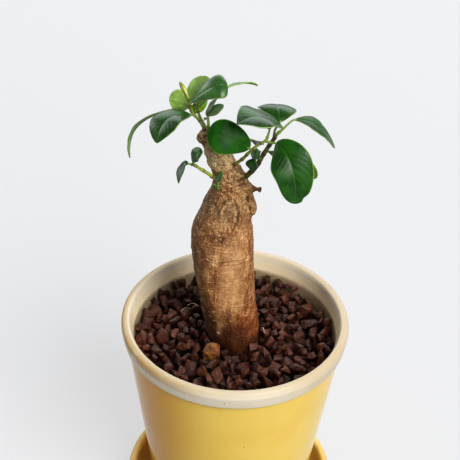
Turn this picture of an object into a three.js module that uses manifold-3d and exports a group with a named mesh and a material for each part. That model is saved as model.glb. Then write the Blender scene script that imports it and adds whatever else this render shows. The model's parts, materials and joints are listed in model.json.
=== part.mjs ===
// Ginseng ficus in a glazed pot that stands in its saucer.
// Millimetres, +Z up. Z is the axis of the pot and z = 0 is the underside of the saucer.
// -Y is the front, where the round leaf hides the top of the trunk.

import * as THREE from "three";
import { mergeVertices } from "three/addons/utils/BufferGeometryUtils.js";
import Module from "manifold-3d";

const wasm = await Module();
wasm.setup();

// Clearances and fineness
const gap = 0.3; // left between two pieces that touch
const mergeDistance = 1e-3;
const turnSegments = 44;
const fillingSegments = 32;
const trunkSides = 20;
const trunkRings = 30;

// Pot
const lipRadius = 60; // widest circle of the lip
const lipHeight = 131; // height of that circle
const rimTop = 133.2;
const lipDepth = 9; // from the widest circle down to the groove under the lip
const bodyTopRadius = 57.2;
const bodyTaper = 0.132; // radius lost for each millimetre down
const wall = 3.7;
const potBase = 5; // the pot stands on the saucer's floor
const potFloor = 6; // thickness of the pot's floor
const footRecess = 1.5;
const footWidth = 3.5;
const drainRadius = 6;

// Saucer
const saucerRadius = 58.7;
const saucerHeight = 20;
const saucerFloor = 5;
const saucerFootRadius = 46;
const saucerWall = 4.8;

// Filling
const soilTop = 108;
const bedTop = 117.2; // level of the gaps between the grains of gravel
const grainPitch = 7.2; // from one grain's middle to the next
const grainRise = [2.2, 5.6]; // how far the top of a grain stands above the gaps, least and most
const grainSlope = 0.3; // of the top of each grain
const grainCeiling = 125.4;
const grainSeed = 41;
const rootDepth = 70; // height of the root's blunt end
const rootRadius = 12.4;
const rootEndRadius = 8.6;

// Leaves and twigs
const bladeThickness = 0.8;
const keelDepth = 0.5; // how far the midrib stands out below the blade at its base
const petioleRadius = 0.62;
const leastWidth = 0.08; // share of its width that a blade keeps at its base and tip
const leafMesh = { steps: 9, strips: 4 }; // rows of faces from base to tip, and strips across
const leafletMesh = { steps: 5, strips: 2 };
const leafletWidth = 7; // a blade narrower than this gets the coarser mesh

const material = (color, roughness, metalness = 0) =>
  new THREE.MeshStandardMaterial({ color, roughness, metalness });

const finishes = {
  glaze: material(0xeccd72, 0.18),
  soil: material(0x2b1d14, 0.95),
  gravel: material(0x5c3228, 0.85),
  ochre: material(0x8a5a24, 0.85),
  bark: material(0x95683c, 0.7),
  twig: material(0x55692a, 0.5),
  bud: material(0xa9b94a, 0.45),
  leaf: material(0x2c6b28, 0.28),
  youngLeaf: material(0x6f9a45, 0.35),
};

const ficus = new THREE.Group();
ficus.name = "ginseng_ficus";

const vector = (xyz) => new THREE.Vector3(...xyz);

// A closed geometry as a solid that can be joined and cut.
function solidOf(geometry) {
  const bare = new THREE.BufferGeometry();
  bare.setAttribute("position", geometry.getAttribute("position"));
  bare.setIndex(geometry.index);
  const merged = mergeVertices(bare, mergeDistance);
  return new wasm.Manifold(
    new wasm.Mesh({
      numProp: 3,
      vertProperties: new Float32Array(merged.attributes.position.array),
      triVerts: new Uint32Array(merged.index.array),
    }),
  );
}

// The largest body of a solid, without the scraps that a cut leaves.
const largestBody = (solid) =>
  solid.decompose().reduce((most, body) => (body.volume() > most.volume() ? body : most));

function addPiece(name, solid, finish) {
  const { vertProperties, triVerts } = largestBody(solid).getMesh();
  const geometry = new THREE.BufferGeometry();
  geometry.setAttribute("position", new THREE.BufferAttribute(vertProperties, 3));
  geometry.setIndex(new THREE.BufferAttribute(triVerts, 1));
  geometry.computeVertexNormals();
  const mesh = new THREE.Mesh(geometry, finish);
  mesh.name = name;
  ficus.add(mesh);
}

// A profile of [radius, height] points turned round Z.
function turned(profile, segments = turnSegments) {
  const points = profile.map(([radius, height]) => new THREE.Vector2(radius, height));
  return new THREE.LatheGeometry(points, segments).rotateX(Math.PI / 2);
}

// Points on a quarter-like bend between two ends, pulled towards a corner.
const bend = (from, corner, to, steps = 3) =>
  new THREE.QuadraticBezierCurve(
    new THREE.Vector2(...from),
    new THREE.Vector2(...corner),
    new THREE.Vector2(...to),
  )
    .getPoints(steps)
    .map((point) => [point.x, point.y]);

// Pot: one ceramic shell with a lip, a foot ring and a drain hole
const grooveHeight = lipHeight - lipDepth;
const bodyRadius = (height) => bodyTopRadius - bodyTaper * (grooveHeight - height);
const innerRadius = (height) => bodyRadius(height) - wall;

function potProfile() {
  const insideFloor = potBase + potFloor;
  const footRadius = bodyRadius(potBase);
  return [
    [drainRadius, potBase + footRecess],
    [footRadius - footWidth - 1, potBase + footRecess],
    [footRadius - footWidth, potBase],
    [footRadius - 0.6, potBase],
    [footRadius, potBase + 0.7],
    [bodyTopRadius, grooveHeight - 0.6],
    [bodyTopRadius - 0.5, grooveHeight],
    ...bend([lipRadius - 1.9, grooveHeight + 0.3], [lipRadius - 1.2, grooveHeight + 0.4],
      [lipRadius - 1.1, grooveHeight + 1.6], 2),
    ...bend([lipRadius, lipHeight - 1], [lipRadius, rimTop], [lipRadius - 2.6, rimTop]),
    ...bend([lipRadius - 3.4, rimTop], [lipRadius - 5, rimTop], [innerRadius(lipHeight) + 0.2, lipHeight - 2]),
    [innerRadius(soilTop), soilTop],
    [innerRadius(insideFloor + 3), insideFloor + 3],
    [innerRadius(insideFloor) - 3, insideFloor],
    [drainRadius, insideFloor],
    [drainRadius, potBase + footRecess],
  ];
}
addPiece("pot", solidOf(turned(potProfile())), finishes.glaze);

// Saucer: a flat floor and a flared wall with a round rim
function saucerProfile() {
  const insideRim = saucerRadius - saucerWall;
  return [
    [0, 0],
    [saucerFootRadius, 0],
    ...bend([saucerFootRadius + 1, 0.5], [saucerRadius - 3.5, 3], [saucerRadius - 0.6, saucerHeight - 7]),
    ...bend([saucerRadius, saucerHeight - 2.4], [saucerRadius, saucerHeight],
      [saucerRadius - saucerWall / 2, saucerHeight], 2),
    ...bend([saucerRadius - saucerWall / 2 - 1, saucerHeight - 0.2], [insideRim, saucerHeight],
      [insideRim - 0.2, saucerHeight - 3], 2),
    ...bend([insideRim - 2.2, saucerFloor + 3.4], [insideRim - 2.8, saucerFloor],
      [insideRim - 6.5, saucerFloor], 2),
    [0, saucerFloor],
  ];
}
addPiece("saucer", solidOf(turned(saucerProfile())), finishes.glaze);

// Trunk: rings that follow the two outlines of the swollen root, then its knobs and a cut stub
const outlines = [
  // [height, left edge, right edge]
  [116, -12.4, 12.8],
  [124, -14.8, 12.7],
  [134, -17.0, 11.5],
  [144, -18.8, 10.2],
  [154, -20.6, 9.2],
  [164, -22.1, 8.4],
  [174, -23.3, 7.9],
  [183, -23.9, 7.5],
  [190, -23.2, 6.8],
  [196, -21.2, 6.0],
  [203, -18.5, 6.8],
  [209, -15.9, 6.2],
  [214, -14.2, 4.9],
  [219, -13.1, 3.3],
  [224, -14.0, 0.9],
  [229, -16.2, -2.8],
  [234, -17.7, -5.6],
  [239, -18.6, -8.6],
  [243, -20.4, -12.0],
  [246, -19.8, -14.0],
];
const swellings = [
  // { at, reach, rise }: the surface near a point, pushed outwards
  { at: [9, -3, 205.5], reach: 5, rise: 2.5 }, // knob on the right edge
  { at: [6.4, -3.2, 212.6], reach: 2.4, rise: 1.1 }, // top of that knob
  { at: [3, -6, 216], reach: 4, rise: 1.2 }, // collar of the stub
  { at: [-20.5, -1, 242.5], reach: 3, rise: 1.4 }, // knob at the top left
  { at: [-13, -5, 222.5], reach: 2.6, rise: 1.5 }, // collar of the left twig
  { at: [1, -1, 221], reach: 3, rise: 1.2 }, // collar of the lower right twig
  { at: [-7, -14, 196], reach: 7, rise: 0.9 },
  { at: [-2, 14, 176], reach: 9, rise: 1.3 },
  { at: [-16, 12, 206], reach: 7, rise: 1.6 },
  { at: [2.5, -13, 187], reach: 2.6, rise: -1.3 }, // pit in the bark
  { at: [8, -6, 199], reach: 2.6, rise: -1.2 }, // pit under the knob
];
const stub = { points: [[1, -2.5, 216.2], [5.5, -3.4, 216.8], [10.1, -4, 216.9]], radii: [2, 1.2] };
const stubRoot = { points: [[0.4, -2.3, 216], [3.6, -3, 216.6], [7.6, -3.7, 216.9]], radii: [3.2, 1.3] };
const lobeDepth = 0.03; // share of its radius by which the trunk is lobed
const lean = (height) => 1.2 * Math.sin((height - soilTop) / 42); // sideways bow, front to back

function trunkSolid(extra = 0) {
  const spine = new THREE.CatmullRomCurve3(
    outlines.map(([height, left, right]) => new THREE.Vector3((left + right) / 2, (right - left) / 2, height)),
  );
  const rings = spine.getPoints(trunkRings);
  const lowest = rings[0];
  const highest = rings[rings.length - 1];
  const stations = [
    new THREE.Vector3(0, 0, rootDepth - extra),
    new THREE.Vector3(0, rootEndRadius - 2, rootDepth - extra),
    new THREE.Vector3(0, rootEndRadius, rootDepth + 3),
    new THREE.Vector3(0, rootRadius, soilTop - 4),
    new THREE.Vector3(lowest.x / 2, rootRadius + 0.1, soilTop + 3),
    ...rings,
    new THREE.Vector3(highest.x, highest.y * 0.55, highest.z + 1.2 + extra),
    new THREE.Vector3(highest.x, 0, highest.z + 1.5 + extra),
  ];
  const profile = stations.map((ring) => [ring.y > 0 ? ring.y + extra : 0, ring.z]);
  const geometry = turned(profile, trunkSides);
  const position = geometry.getAttribute("position");
  const point = new THREE.Vector3();
  for (let i = 0; i < position.count; i++) {
    point.fromBufferAttribute(position, i);
    const ring = stations[i % stations.length];
    const radius = Math.hypot(point.x, point.y);
    const angle = Math.atan2(point.y, point.x);
    const above = THREE.MathUtils.smoothstep(ring.z, soilTop + 4, soilTop + 20);
    const lobes = Math.sin(3 * angle + ring.z / 19) + 0.7 * Math.sin(5 * angle - ring.z / 11 + 2);
    const lobed = radius * (1 + lobeDepth * above * lobes * Math.abs(Math.sin(angle)));
    const outward = new THREE.Vector3(Math.cos(angle), Math.sin(angle), 0);
    point.set(ring.x, above * lean(ring.z), ring.z).addScaledVector(outward, lobed);
    for (const { at, reach, rise } of swellings) {
      const far = point.distanceTo(vector(at)) / reach;
      if (radius > 0) point.addScaledVector(outward, rise * Math.exp(-far * far));
    }
    position.setXYZ(i, point.x, point.y, point.z);
  }
  return solidOf(geometry)
    .add(stemSolid(stub.points, stub.radii[0] + extra, stub.radii[1] + extra, 8))
    .add(stemSolid(stubRoot.points, stubRoot.radii[0] + extra, stubRoot.radii[1] + extra, 8));
}

// Stems: a round tube through a few points, tapered from its first end to its last
function stemSolid(points, startRadius, endRadius, sides = 7) {
  const curve = new THREE.CatmullRomCurve3(points.map(vector));
  const steps = Math.ceil(1.5 * (points.length - 1));
  const frames = curve.computeFrenetFrames(steps);
  const tube = new THREE.CylinderGeometry(1, 1, 1, sides, steps);
  const position = tube.getAttribute("position");
  for (let i = 0; i < position.count; i++) {
    const along = position.getY(i) + 0.5;
    const ring = Math.round(along * steps);
    const radius = THREE.MathUtils.lerp(startRadius, endRadius, along);
    const point = curve.getPointAt(along)
      .addScaledVector(frames.normals[ring], radius * position.getX(i))
      .addScaledVector(frames.binormals[ring], -radius * position.getZ(i));
    position.setXYZ(i, point.x, point.y, point.z);
  }
  return solidOf(tube);
}

const trunk = trunkSolid();
const trunkRoom = trunkSolid(gap);
addPiece("trunk", trunk, finishes.bark);

// Each twig: its points from inside the trunk outwards, and its radius at both ends
const twigs = {
  twig_crown_left: {
    points: [[-17.3, -0.6, 243.5], [-17.9, -0.8, 247.2], [-20.4, 0.3, 251.6], [-23.9, 0.6, 255.6],
      [-25.2, 0.8, 259.8], [-26.2, 1.2, 262.6]],
    radii: [1.25, 0.85],
  },
  twig_crown_middle: {
    points: [[-16.6, 2.4, 243], [-17.3, 2.6, 245.9], [-20.0, 3.8, 250.4], [-21.7, 5.2, 254.0],
      [-22.6, 6.4, 256.4]],
    radii: [1.1, 0.8],
  },
  twig_right_upper: {
    points: [[-6.5, -1.5, 226.5], [-3.5, -2.6, 229.8], [0.5, -5, 234.9], [2.9, -7, 239.3],
      [5.6, -7.5, 242.6], [8.3, -6.6, 244.7], [10.6, -6, 246], [11.5, -5.5, 247.2]],
    radii: [1.4, 0.8],
  },
  twig_right_lower: {
    points: [[-1.5, -0.8, 218.6], [2.2, -1, 222.1], [4.7, -2, 225.7], [7.2, -2.5, 229.5],
      [9.5, -3, 235], [11.4, -3, 239.1], [13.5, -3, 243.1], [15.1, -3, 246.1], [15.9, -3, 248]],
    radii: [1.8, 1.1],
  },
  twig_left: {
    points: [[-10, -3, 221], [-12.9, -4.8, 223.2], [-16, -6.4, 226.8], [-19.2, -8, 230],
      [-21.6, -9.5, 232.7], [-23.3, -10, 233.7]],
    radii: [1.1, 0.7],
  },
};

const twigSolid = ({ points, radii: [start, end] }, extra = 0) => stemSolid(points, start + extra, end + extra);

for (const [name, twig] of Object.entries(twigs)) {
  addPiece(name, twigSolid(twig).subtract(trunkRoom), finishes.twig);
}

// Blade: a thin sheet on a bent midrib. face is the way its upper side looks, or across the way
// from its left edge to its right. fold lifts both halves into a V, curl bows them, and wave
// ripples the edges. The lower its fullness, the fuller the outline near the base, and near the
// tip with tipFullness. dents are nicks and bumps in the margin: [at, edge, depth, reach].
function bladeSolid({ base, middle, tip, face, across, width, fold = 0.12, curl = -0.12, wave = 0.3, waves = 1.5,
  widest = 0.55, fullness = 0.72, tipFullness = fullness, dents = [] }) {
  const { steps, strips } = width < leafletWidth ? leafletMesh : leafMesh;
  const control = vector(middle).multiplyScalar(2)
    .addScaledVector(vector(base), -0.5).addScaledVector(vector(tip), -0.5);
  const midrib = new THREE.QuadraticBezierCurve3(vector(base), control, vector(tip));
  const skew = Math.log(0.5) / Math.log(widest);
  const row = strips + 1;
  const under = row * (steps + 1); // from a vertex of the upper side to the one below it
  const positions = new Float32Array(2 * under * 3);
  for (let i = 0; i <= steps; i++) {
    const u = (1 - Math.cos((Math.PI * i) / steps)) / 2;
    const centre = midrib.getPoint(u);
    const tangent = midrib.getTangent(u);
    const facing = across ? vector(across).cross(tangent) : vector(face);
    const normal = facing.addScaledVector(tangent, -facing.dot(tangent)).normalize();
    const side = tangent.clone().cross(normal);
    const taper = THREE.MathUtils.lerp(fullness, tipFullness, u);
    const half = (width / 2) * Math.max(leastWidth, Math.sin(Math.PI * u ** skew) ** taper);
    for (let j = 0; j <= strips; j++) {
      const v = (2 * j) / strips - 1;
      let dent = 0;
      for (const [at, edge, depth, reach] of dents) {
        if (edge * v > 0) dent += depth * Math.exp(-(((u - at) / reach) ** 2));
      }
      const reach = (half * v * (1 - dent * v * v)) / Math.hypot(1, fold);
      const ripple = wave * v * Math.sin(2 * Math.PI * waves * u + 1) * Math.sin(Math.PI * u);
      const rise = fold * Math.abs(reach) + curl * half * v * v + ripple;
      const keel = v === 0 ? keelDepth * (1 - u) : 0;
      const place = (offset) =>
        centre.clone().addScaledVector(side, reach).addScaledVector(normal, rise + offset);
      place(bladeThickness / 2).toArray(positions, 3 * (i * row + j));
      place(-bladeThickness / 2 - keel).toArray(positions, 3 * (under + i * row + j));
    }
  }
  const index = [];
  const quad = (a, b, c, d) => index.push(a, b, c, a, c, d);
  for (let i = 0; i < steps; i++) {
    for (let j = 0; j < strips; j++) {
      const a = i * row + j;
      quad(a, a + 1, a + row + 1, a + row);
      quad(under + a + row + 1, under + a + 1, under + a, under + a + row);
    }
    const left = i * row;
    const right = left + strips;
    quad(left, left + row, under + left + row, under + left);
    quad(right + row, right, under + right, under + right + row);
  }
  for (let j = 0; j < strips; j++) {
    const end = steps * row + j;
    quad(j + 1, j, under + j, under + j + 1);
    quad(end, end + 1, under + end + 1, under + end);
  }
  const geometry = new THREE.BufferGeometry();
  geometry.setAttribute("position", new THREE.BufferAttribute(positions, 3));
  geometry.setIndex(index);
  return solidOf(geometry);
}

// A leaf: its blade, and a petiole from a foot inside the twig to a little way along the blade
function leafSolid(leaf) {
  const { base, middle, foot, via = [], petiole = petioleRadius } = leaf;
  const inBlade = vector(base).lerp(vector(middle), 0.07).toArray();
  return bladeSolid(leaf).add(stemSolid([foot, ...via, base, inBlade], petiole, petiole * 0.85, 5));
}

// Large leaves, each with the twig that it grows from
const leaves = {
  leaf_crown_far_left: {
    on: "twig_crown_left", foot: [-23.9, 0.6, 255.6], base: [-26.2, 2, 256.8], middle: [-48.8, 11, 241.8],
    tip: [-55.2, 13, 221.2], across: [0.05, 0.86, -0.5], width: 13,
  },
  leaf_crown_left: {
    on: "twig_crown_left", foot: [-22.2, 0.5, 253.9], base: [-24.3, -1.6, 255.9], middle: [-34.8, -9.4, 257.6],
    tip: [-39.4, -17, 249.2], face: [-0.35, -0.25, 0.9], width: 16, wave: 0.5, widest: 0.56, fullness: 0.6,
    tipFullness: 0.52,
  },
  leaf_crown_back_left: {
    on: "twig_crown_left", foot: [-25, 0.8, 259], base: [-26.4, 3.6, 259.2], middle: [-31.4, 7, 258.8],
    tip: [-36, 8.8, 257.4], face: [-0.2, 0.9, 0.2], width: 14, fullness: 0.55,
  },
  leaf_crown_back: {
    on: "twig_crown_left", foot: [-25.9, 1, 261.6], base: [-25.4, 4.2, 261.4], middle: [-21, 8, 265],
    tip: [-16.8, 9.4, 269.6], face: [-0.2, 0.85, -0.35], width: 13,
  },
  leaf_crown_top: {
    on: "twig_crown_left", foot: [-25.2, 0.8, 259.8], base: [-25.4, -2.2, 261.4], middle: [-17, -6, 272.2],
    tip: [-7.6, -10, 274.4], face: [-0.35, -0.4, 0.8], width: 14.8, widest: 0.64, fullness: 0.8,
    tipFullness: 0.38, curl: -0.3,
  },
  leaf_crown_back_right: {
    on: "twig_crown_middle", foot: [-22.2, 5.9, 255.2], via: [[-17.5, 8, 259]], base: [-12, 9, 262.4],
    middle: [-2.4, 15, 264.4], tip: [6.2, 20, 260.6], face: [0, 0.52, 0.85], width: 8,
  },
  leaf_crown_back_low: {
    on: "twig_crown_middle", foot: [-22.6, 6.4, 256.4], base: [-22, 8.6, 255.8], middle: [-20.8, 10.4, 252.4],
    tip: [-18.8, 12, 248.8], face: [-0.2, -0.6, 0.7], width: 10, fullness: 0.6,
  },
  leaf_front_round: {
    on: "twig_right_upper", foot: [4.3, -7.3, 241.2], base: [3.8, -9.4, 244.4], middle: [-6, -12, 250.9],
    tip: [-16.4, -10.6, 249], face: [-0.2, -0.83, 0.52], width: 18, widest: 0.52, fullness: 0.46,
    tipFullness: 0.36, fold: 0.05, curl: -0.16,
  },
  leaf_right_spread: {
    on: "twig_right_lower", foot: [15.4, -3, 247], via: [[16.2, -5, 249.6]], base: [18.4, -4.6, 253],
    middle: [7.2, -9, 261.7], tip: [-2.4, -17.6, 260.1], face: [0.2, 0.05, 1], width: 18, wave: 0.8,
    widest: 0.54, fullness: 0.62, tipFullness: 0.46,
  },
  leaf_right_back: {
    on: "twig_right_lower", foot: [14.9, -3, 245.8], via: [[15, -0.6, 248.6]], base: [17.4, 1, 252.4],
    middle: [16, 12, 254.8], tip: [14, 23.4, 245.8], face: [0.1, 0, 1], width: 19, curl: -0.3,
    widest: 0.52, fullness: 0.62,
  },
  leaf_right_arching: {
    on: "twig_right_lower", foot: [15.9, -3, 247.9], via: [[18.9, -1.4, 250.2], [22.3, 0.9, 252.8]],
    base: [24, 1.6, 253.6], middle: [35.8, 6, 247.6], tip: [44.8, 10, 233.4], face: [0.42, -0.16, 0.85],
    width: 10,
  },
  leaf_right_hanging: {
    on: "twig_right_upper", foot: [10.6, -6, 246], via: [[13.2, -5.6, 244.9]], base: [15.6, -7, 245.4],
    middle: [23, -16.6, 240], tip: [26.2, -22, 222], face: [0.1, -0.9, 0.4], width: 20.2, wave: 0.6,
    widest: 0.56, fullness: 0.48, tipFullness: 0.44, dents: [[0.95, -1, 0.25, 0.03], [0.86, 1, -0.06, 0.05]],
  },
  leaf_right_olive: {
    on: "twig_right_lower", foot: [10.6, -3, 237.4], base: [12.6, -0.6, 236.8], middle: [25.2, 5, 228.5],
    tip: [36.6, 10, 215.3], face: [0.2, 0.8, 0.5], width: 15, fullness: 0.6,
  },
  leaf_right_hidden: {
    on: "twig_right_upper", foot: [11.4, -5.6, 247], base: [12.4, -2.6, 250], middle: [11, 4, 251],
    tip: [8, 11, 247.4], face: [0, 0, 1], width: 9,
  },
  leaf_inner_back: {
    on: "twig_right_upper", foot: [5.6, -7.5, 242.6], base: [6.4, -4, 242], middle: [6.6, 2, 240.6],
    tip: [4.8, 8, 236.4], face: [0.3, 0.1, 1], width: 8,
  },
  leaf_inner_upper: {
    on: "twig_right_lower", foot: [9.2, -3, 234.4], base: [8.2, -5.2, 235.6], middle: [6.8, -5.6, 238],
    tip: [6.8, -4.6, 240.8], face: [0.5, -0.7, 0.3], width: 6,
  },
  leaf_inner_lower: {
    on: "twig_right_lower", foot: [5.6, -2.2, 227], base: [4.4, -4.4, 228.4], middle: [4, -5.2, 231.6],
    tip: [4.6, -4.2, 235], face: [-0.3, -0.8, 0.3], width: 6,
  },
  leaf_left_upper: {
    on: "twig_left", foot: [-21.8, -9.6, 232.8], base: [-22.9, -11.2, 235.4], middle: [-21.6, -12, 240.4],
    tip: [-18.3, -13, 242.8], face: [-0.5, -0.5, 0.6], width: 7.2, fullness: 0.6,
  },
  leaf_left_hanging: {
    on: "twig_left", foot: [-23.2, -10, 233.6], base: [-25, -10.6, 234.4], middle: [-28, -12, 233.6],
    tip: [-29.2, -18, 228.1], face: [-0.8, -0.3, 0.5], width: 6.4,
  },
};

for (const [name, leaf] of Object.entries(leaves)) {
  const room = twigSolid(twigs[leaf.on], gap);
  addPiece(name, leafSolid(leaf).subtract(room), finishes.leaf);
}

// Bud at the end of the left crown twig: two rolled sheaths
const budRoom = twigSolid(twigs.twig_crown_left, gap);
const bud = stemSolid([[-26.1, 1.1, 262.4], [-28, 0.9, 267.4], [-30, 0.2, 272]], 1.15, 0.4, 6)
  .add(stemSolid([[-27, 1, 265], [-28, 0.9, 269.4], [-28.7, 0.8, 272.6]], 0.8, 0.4, 6));
addPiece("bud_crown_left", bud.subtract(budRoom), finishes.bud);

// Two small leafy shoots, each one piece: a stem with its little leaves
const shoots = {
  shoot_crown_small: {
    stem: [[-16.4, -2.8, 245.6], [-16.2, -2.8, 249.4], [-16.3, -2.8, 253], [-16.6, -2.8, 256.2]],
    radii: [0.75, 0.6],
    blades: [
      { base: [-16.9, -2.8, 256.2], middle: [-13, -3.4, 260.2], tip: [-9.4, -2.6, 262.4], face: [-0.5, -0.5, 0.7],
        width: 5.2, fullness: 0.6 },
      { base: [-17.2, -2.2, 256], middle: [-15, -0.6, 259.8], tip: [-11.9, 1, 263.2], face: [0.5, -0.6, -0.5],
        width: 4.2 },
      { base: [-16.4, -2.8, 254.6], middle: [-17.2, -4, 255.8], tip: [-18.2, -5.2, 255.4],
        face: [-0.3, -0.3, 0.9], width: 2.2 },
    ],
  },
  shoot_front: {
    stem: [[-9.6, -4.4, 217], [-10.8, -7.2, 219], [-10.9, -8, 223]],
    radii: [0.8, 0.6],
    blades: [
      { base: [-10.9, -7.9, 222.6], middle: [-10.4, -9, 226.6], tip: [-8.9, -9, 230], face: [-0.4, -0.8, 0.4],
        width: 3.4 },
      { base: [-10.8, -7.2, 219.4], middle: [-12.2, -8.4, 220.8], tip: [-13, -9, 222.6], face: [-0.4, -0.8, 0.4],
        width: 1.8 },
    ],
  },
};

for (const [name, { stem, radii: [start, end], blades }] of Object.entries(shoots)) {
  const shoot = blades.reduce((joined, blade) => joined.add(bladeSolid(blade)), stemSolid(stem, start, end, 5));
  addPiece(name, shoot.subtract(trunkRoom), finishes.youngLeaf);
}

// Soil: fills the pot up to the gravel, with a plain hole for the root
function soilProfile() {
  const insideFloor = potBase + potFloor;
  return [
    [0, insideFloor],
    [innerRadius(insideFloor) - 3 - gap, insideFloor],
    [innerRadius(insideFloor + 3) - gap, insideFloor + 3 + gap],
    [innerRadius(soilTop) - gap, soilTop],
    [rootRadius + gap + 0.2, soilTop],
    [rootRadius + gap + 0.1, soilTop - 4],
    [rootEndRadius + gap + 0.1, rootDepth + 3],
    [rootEndRadius - 2, rootDepth - gap],
    [0, rootDepth - gap],
  ];
}
addPiece("soil", solidOf(turned(soilProfile(), fillingSegments)), finishes.soil);

// A seeded stream of random numbers
let seed = grainSeed;
function random(low = 0, high = 1) {
  seed = (seed * 16807) % 2147483647;
  return low + ((high - low) * seed) / 2147483647;
}

// Ochre stone: one angular lump beside the foot of the trunk
const ochreStone = { at: [-11.9, -14.8, 118.6], size: 5.2, stretch: [0.9, 0.85, 1] };

function stoneSolid({ at, size, stretch }, extra = 0) {
  const bare = new THREE.IcosahedronGeometry(1, 0);
  const stone = mergeVertices(new THREE.BufferGeometry().setAttribute("position", bare.attributes.position));
  const position = stone.getAttribute("position");
  const corner = new THREE.Vector3();
  for (let i = 0; i < position.count; i++) {
    const dent = 1 + 0.16 * Math.sin(7 * i + 1);
    corner.fromBufferAttribute(position, i).multiplyScalar(size * dent + extra);
    corner.multiply(vector(stretch)).add(vector(at));
    position.setXYZ(i, corner.x, corner.y, corner.z);
  }
  return solidOf(stone);
}
addPiece("ochre_stone", stoneSolid(ochreStone).subtract(trunkRoom), finishes.ochre);

// Gravel: a sheet of angular grains that meet in the gaps between them. The grains' middles lie
// on a jittered triangular net, and a gap's corner is the mean of the three middles around it.
const grainReach = Math.ceil(lipRadius / grainPitch) + 1; // steps of the net from its centre
const largeGrains = [
  // the two largest grains: the middle of each, and how much higher it stands
  { x: -8.1, y: -32.1, more: 1.6 },
  { x: 28.4, y: -21.6, more: 1.4 },
];

function grainNet() {
  const net = new Map();
  const key = (q, r) => q + " " + r;
  for (let q = -grainReach; q <= grainReach; q++) {
    for (let r = -grainReach; r <= grainReach; r++) {
      const x = grainPitch * (q + r / 2) + random(-1.5, 1.5);
      const y = grainPitch * r * Math.sqrt(0.75) + random(-1.5, 1.5);
      const middle = { x, y, rise: random(...grainRise), shrink: random(0.62, 0.8) };
      const fallsTo = random(0, 2 * Math.PI);
      middle.slope = [grainSlope * Math.cos(fallsTo), grainSlope * Math.sin(fallsTo)];
      for (const large of largeGrains) {
        if (Math.hypot(x - large.x, y - large.y) < 0.55 * grainPitch) {
          Object.assign(middle, { x: large.x, y: large.y, rise: grainRise[1] + large.more, shrink: 0.9 });
        }
      }
      net.set(key(q, r), middle);
    }
  }
  return { net, key };
}

function gravelSheet() {
  const { net, key } = grainNet();
  const around = [[1, 0], [0, 1], [-1, 1], [-1, 0], [0, -1], [1, -1]];
  const positions = [];
  const index = [];
  const shared = new Map();
  const addVertex = (x, y, z) => positions.push(x, y, z) / 3 - 1;
  const corner = (names) => {
    const name = [...names].sort().join();
    if (!shared.has(name)) {
      const [a, b, c] = names.map((n) => net.get(n));
      const x = (a.x + b.x + c.x) / 3;
      const y = (a.y + b.y + c.y) / 3;
      const top = addVertex(x, y, bedTop + random(-0.8, 0.8));
      shared.set(name, { x, y, top, floor: addVertex(x, y, soilTop - 2) });
    }
    return shared.get(name);
  };
  const edges = new Map();
  for (let q = 1 - grainReach; q < grainReach; q++) {
    for (let r = 1 - grainReach; r < grainReach; r++) {
      const grain = net.get(key(q, r));
      if (Math.hypot(grain.x, grain.y) > lipRadius + grainPitch) continue;
      const names = around.map(([dq, dr]) => key(q + dq, r + dr));
      const corners = names.map((n, k) => corner([key(q, r), n, names[(k + 1) % 6]]));
      const height = bedTop + grain.rise;
      const crown = addVertex(grain.x, grain.y, height + random(0.1, 0.8));
      const floor = addVertex(grain.x, grain.y, soilTop - 2);
      const brow = corners.map(({ x, y }) => {
        const dx = grain.shrink * (x - grain.x);
        const dy = grain.shrink * (y - grain.y);
        const fall = random(0.2, 1) + grain.slope[0] * dx + grain.slope[1] * dy;
        return addVertex(grain.x + dx, grain.y + dy, height - fall);
      });
      for (let k = 0; k < 6; k++) {
        const next = (k + 1) % 6;
        index.push(crown, brow[k], brow[next]);
        index.push(brow[k], corners[k].top, corners[next].top, brow[k], corners[next].top, brow[next]);
        index.push(floor, corners[next].floor, corners[k].floor);
        edges.set(corners[k].top + " " + corners[next].top, [corners[k], corners[next]]);
      }
    }
  }
  for (const [from, to] of edges.values()) {
    if (!edges.has(to.top + " " + from.top)) {
      index.push(from.top, from.floor, to.floor, from.top, to.floor, to.top);
    }
  }
  const geometry = new THREE.BufferGeometry();
  geometry.setAttribute("position", new THREE.BufferAttribute(new Float32Array(positions), 3));
  geometry.setIndex(index);
  return solidOf(geometry);
}

const gravelRoom = solidOf(turned([
  [0, soilTop],
  [innerRadius(soilTop) - gap, soilTop],
  [innerRadius(grainCeiling) - gap, grainCeiling],
  [0, grainCeiling],
], fillingSegments));
const gravel = gravelSheet().intersect(gravelRoom).subtract(trunkRoom).subtract(stoneSolid(ochreStone, gap * 2));
addPiece("gravel", gravel, finishes.gravel);

export default ficus;
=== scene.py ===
# Ginseng ficus in a glazed pot on its saucer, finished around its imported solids.
# Lengths in the pieces' dictionaries are millimetres: +Z up, -Y the front, z = 0 under the saucer.
# Their colours are red, green and blue from 0 to 255.
import json
import math
import random

import bmesh
import bpy
import numpy as np
from mathutils import Matrix, Vector, noise

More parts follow.
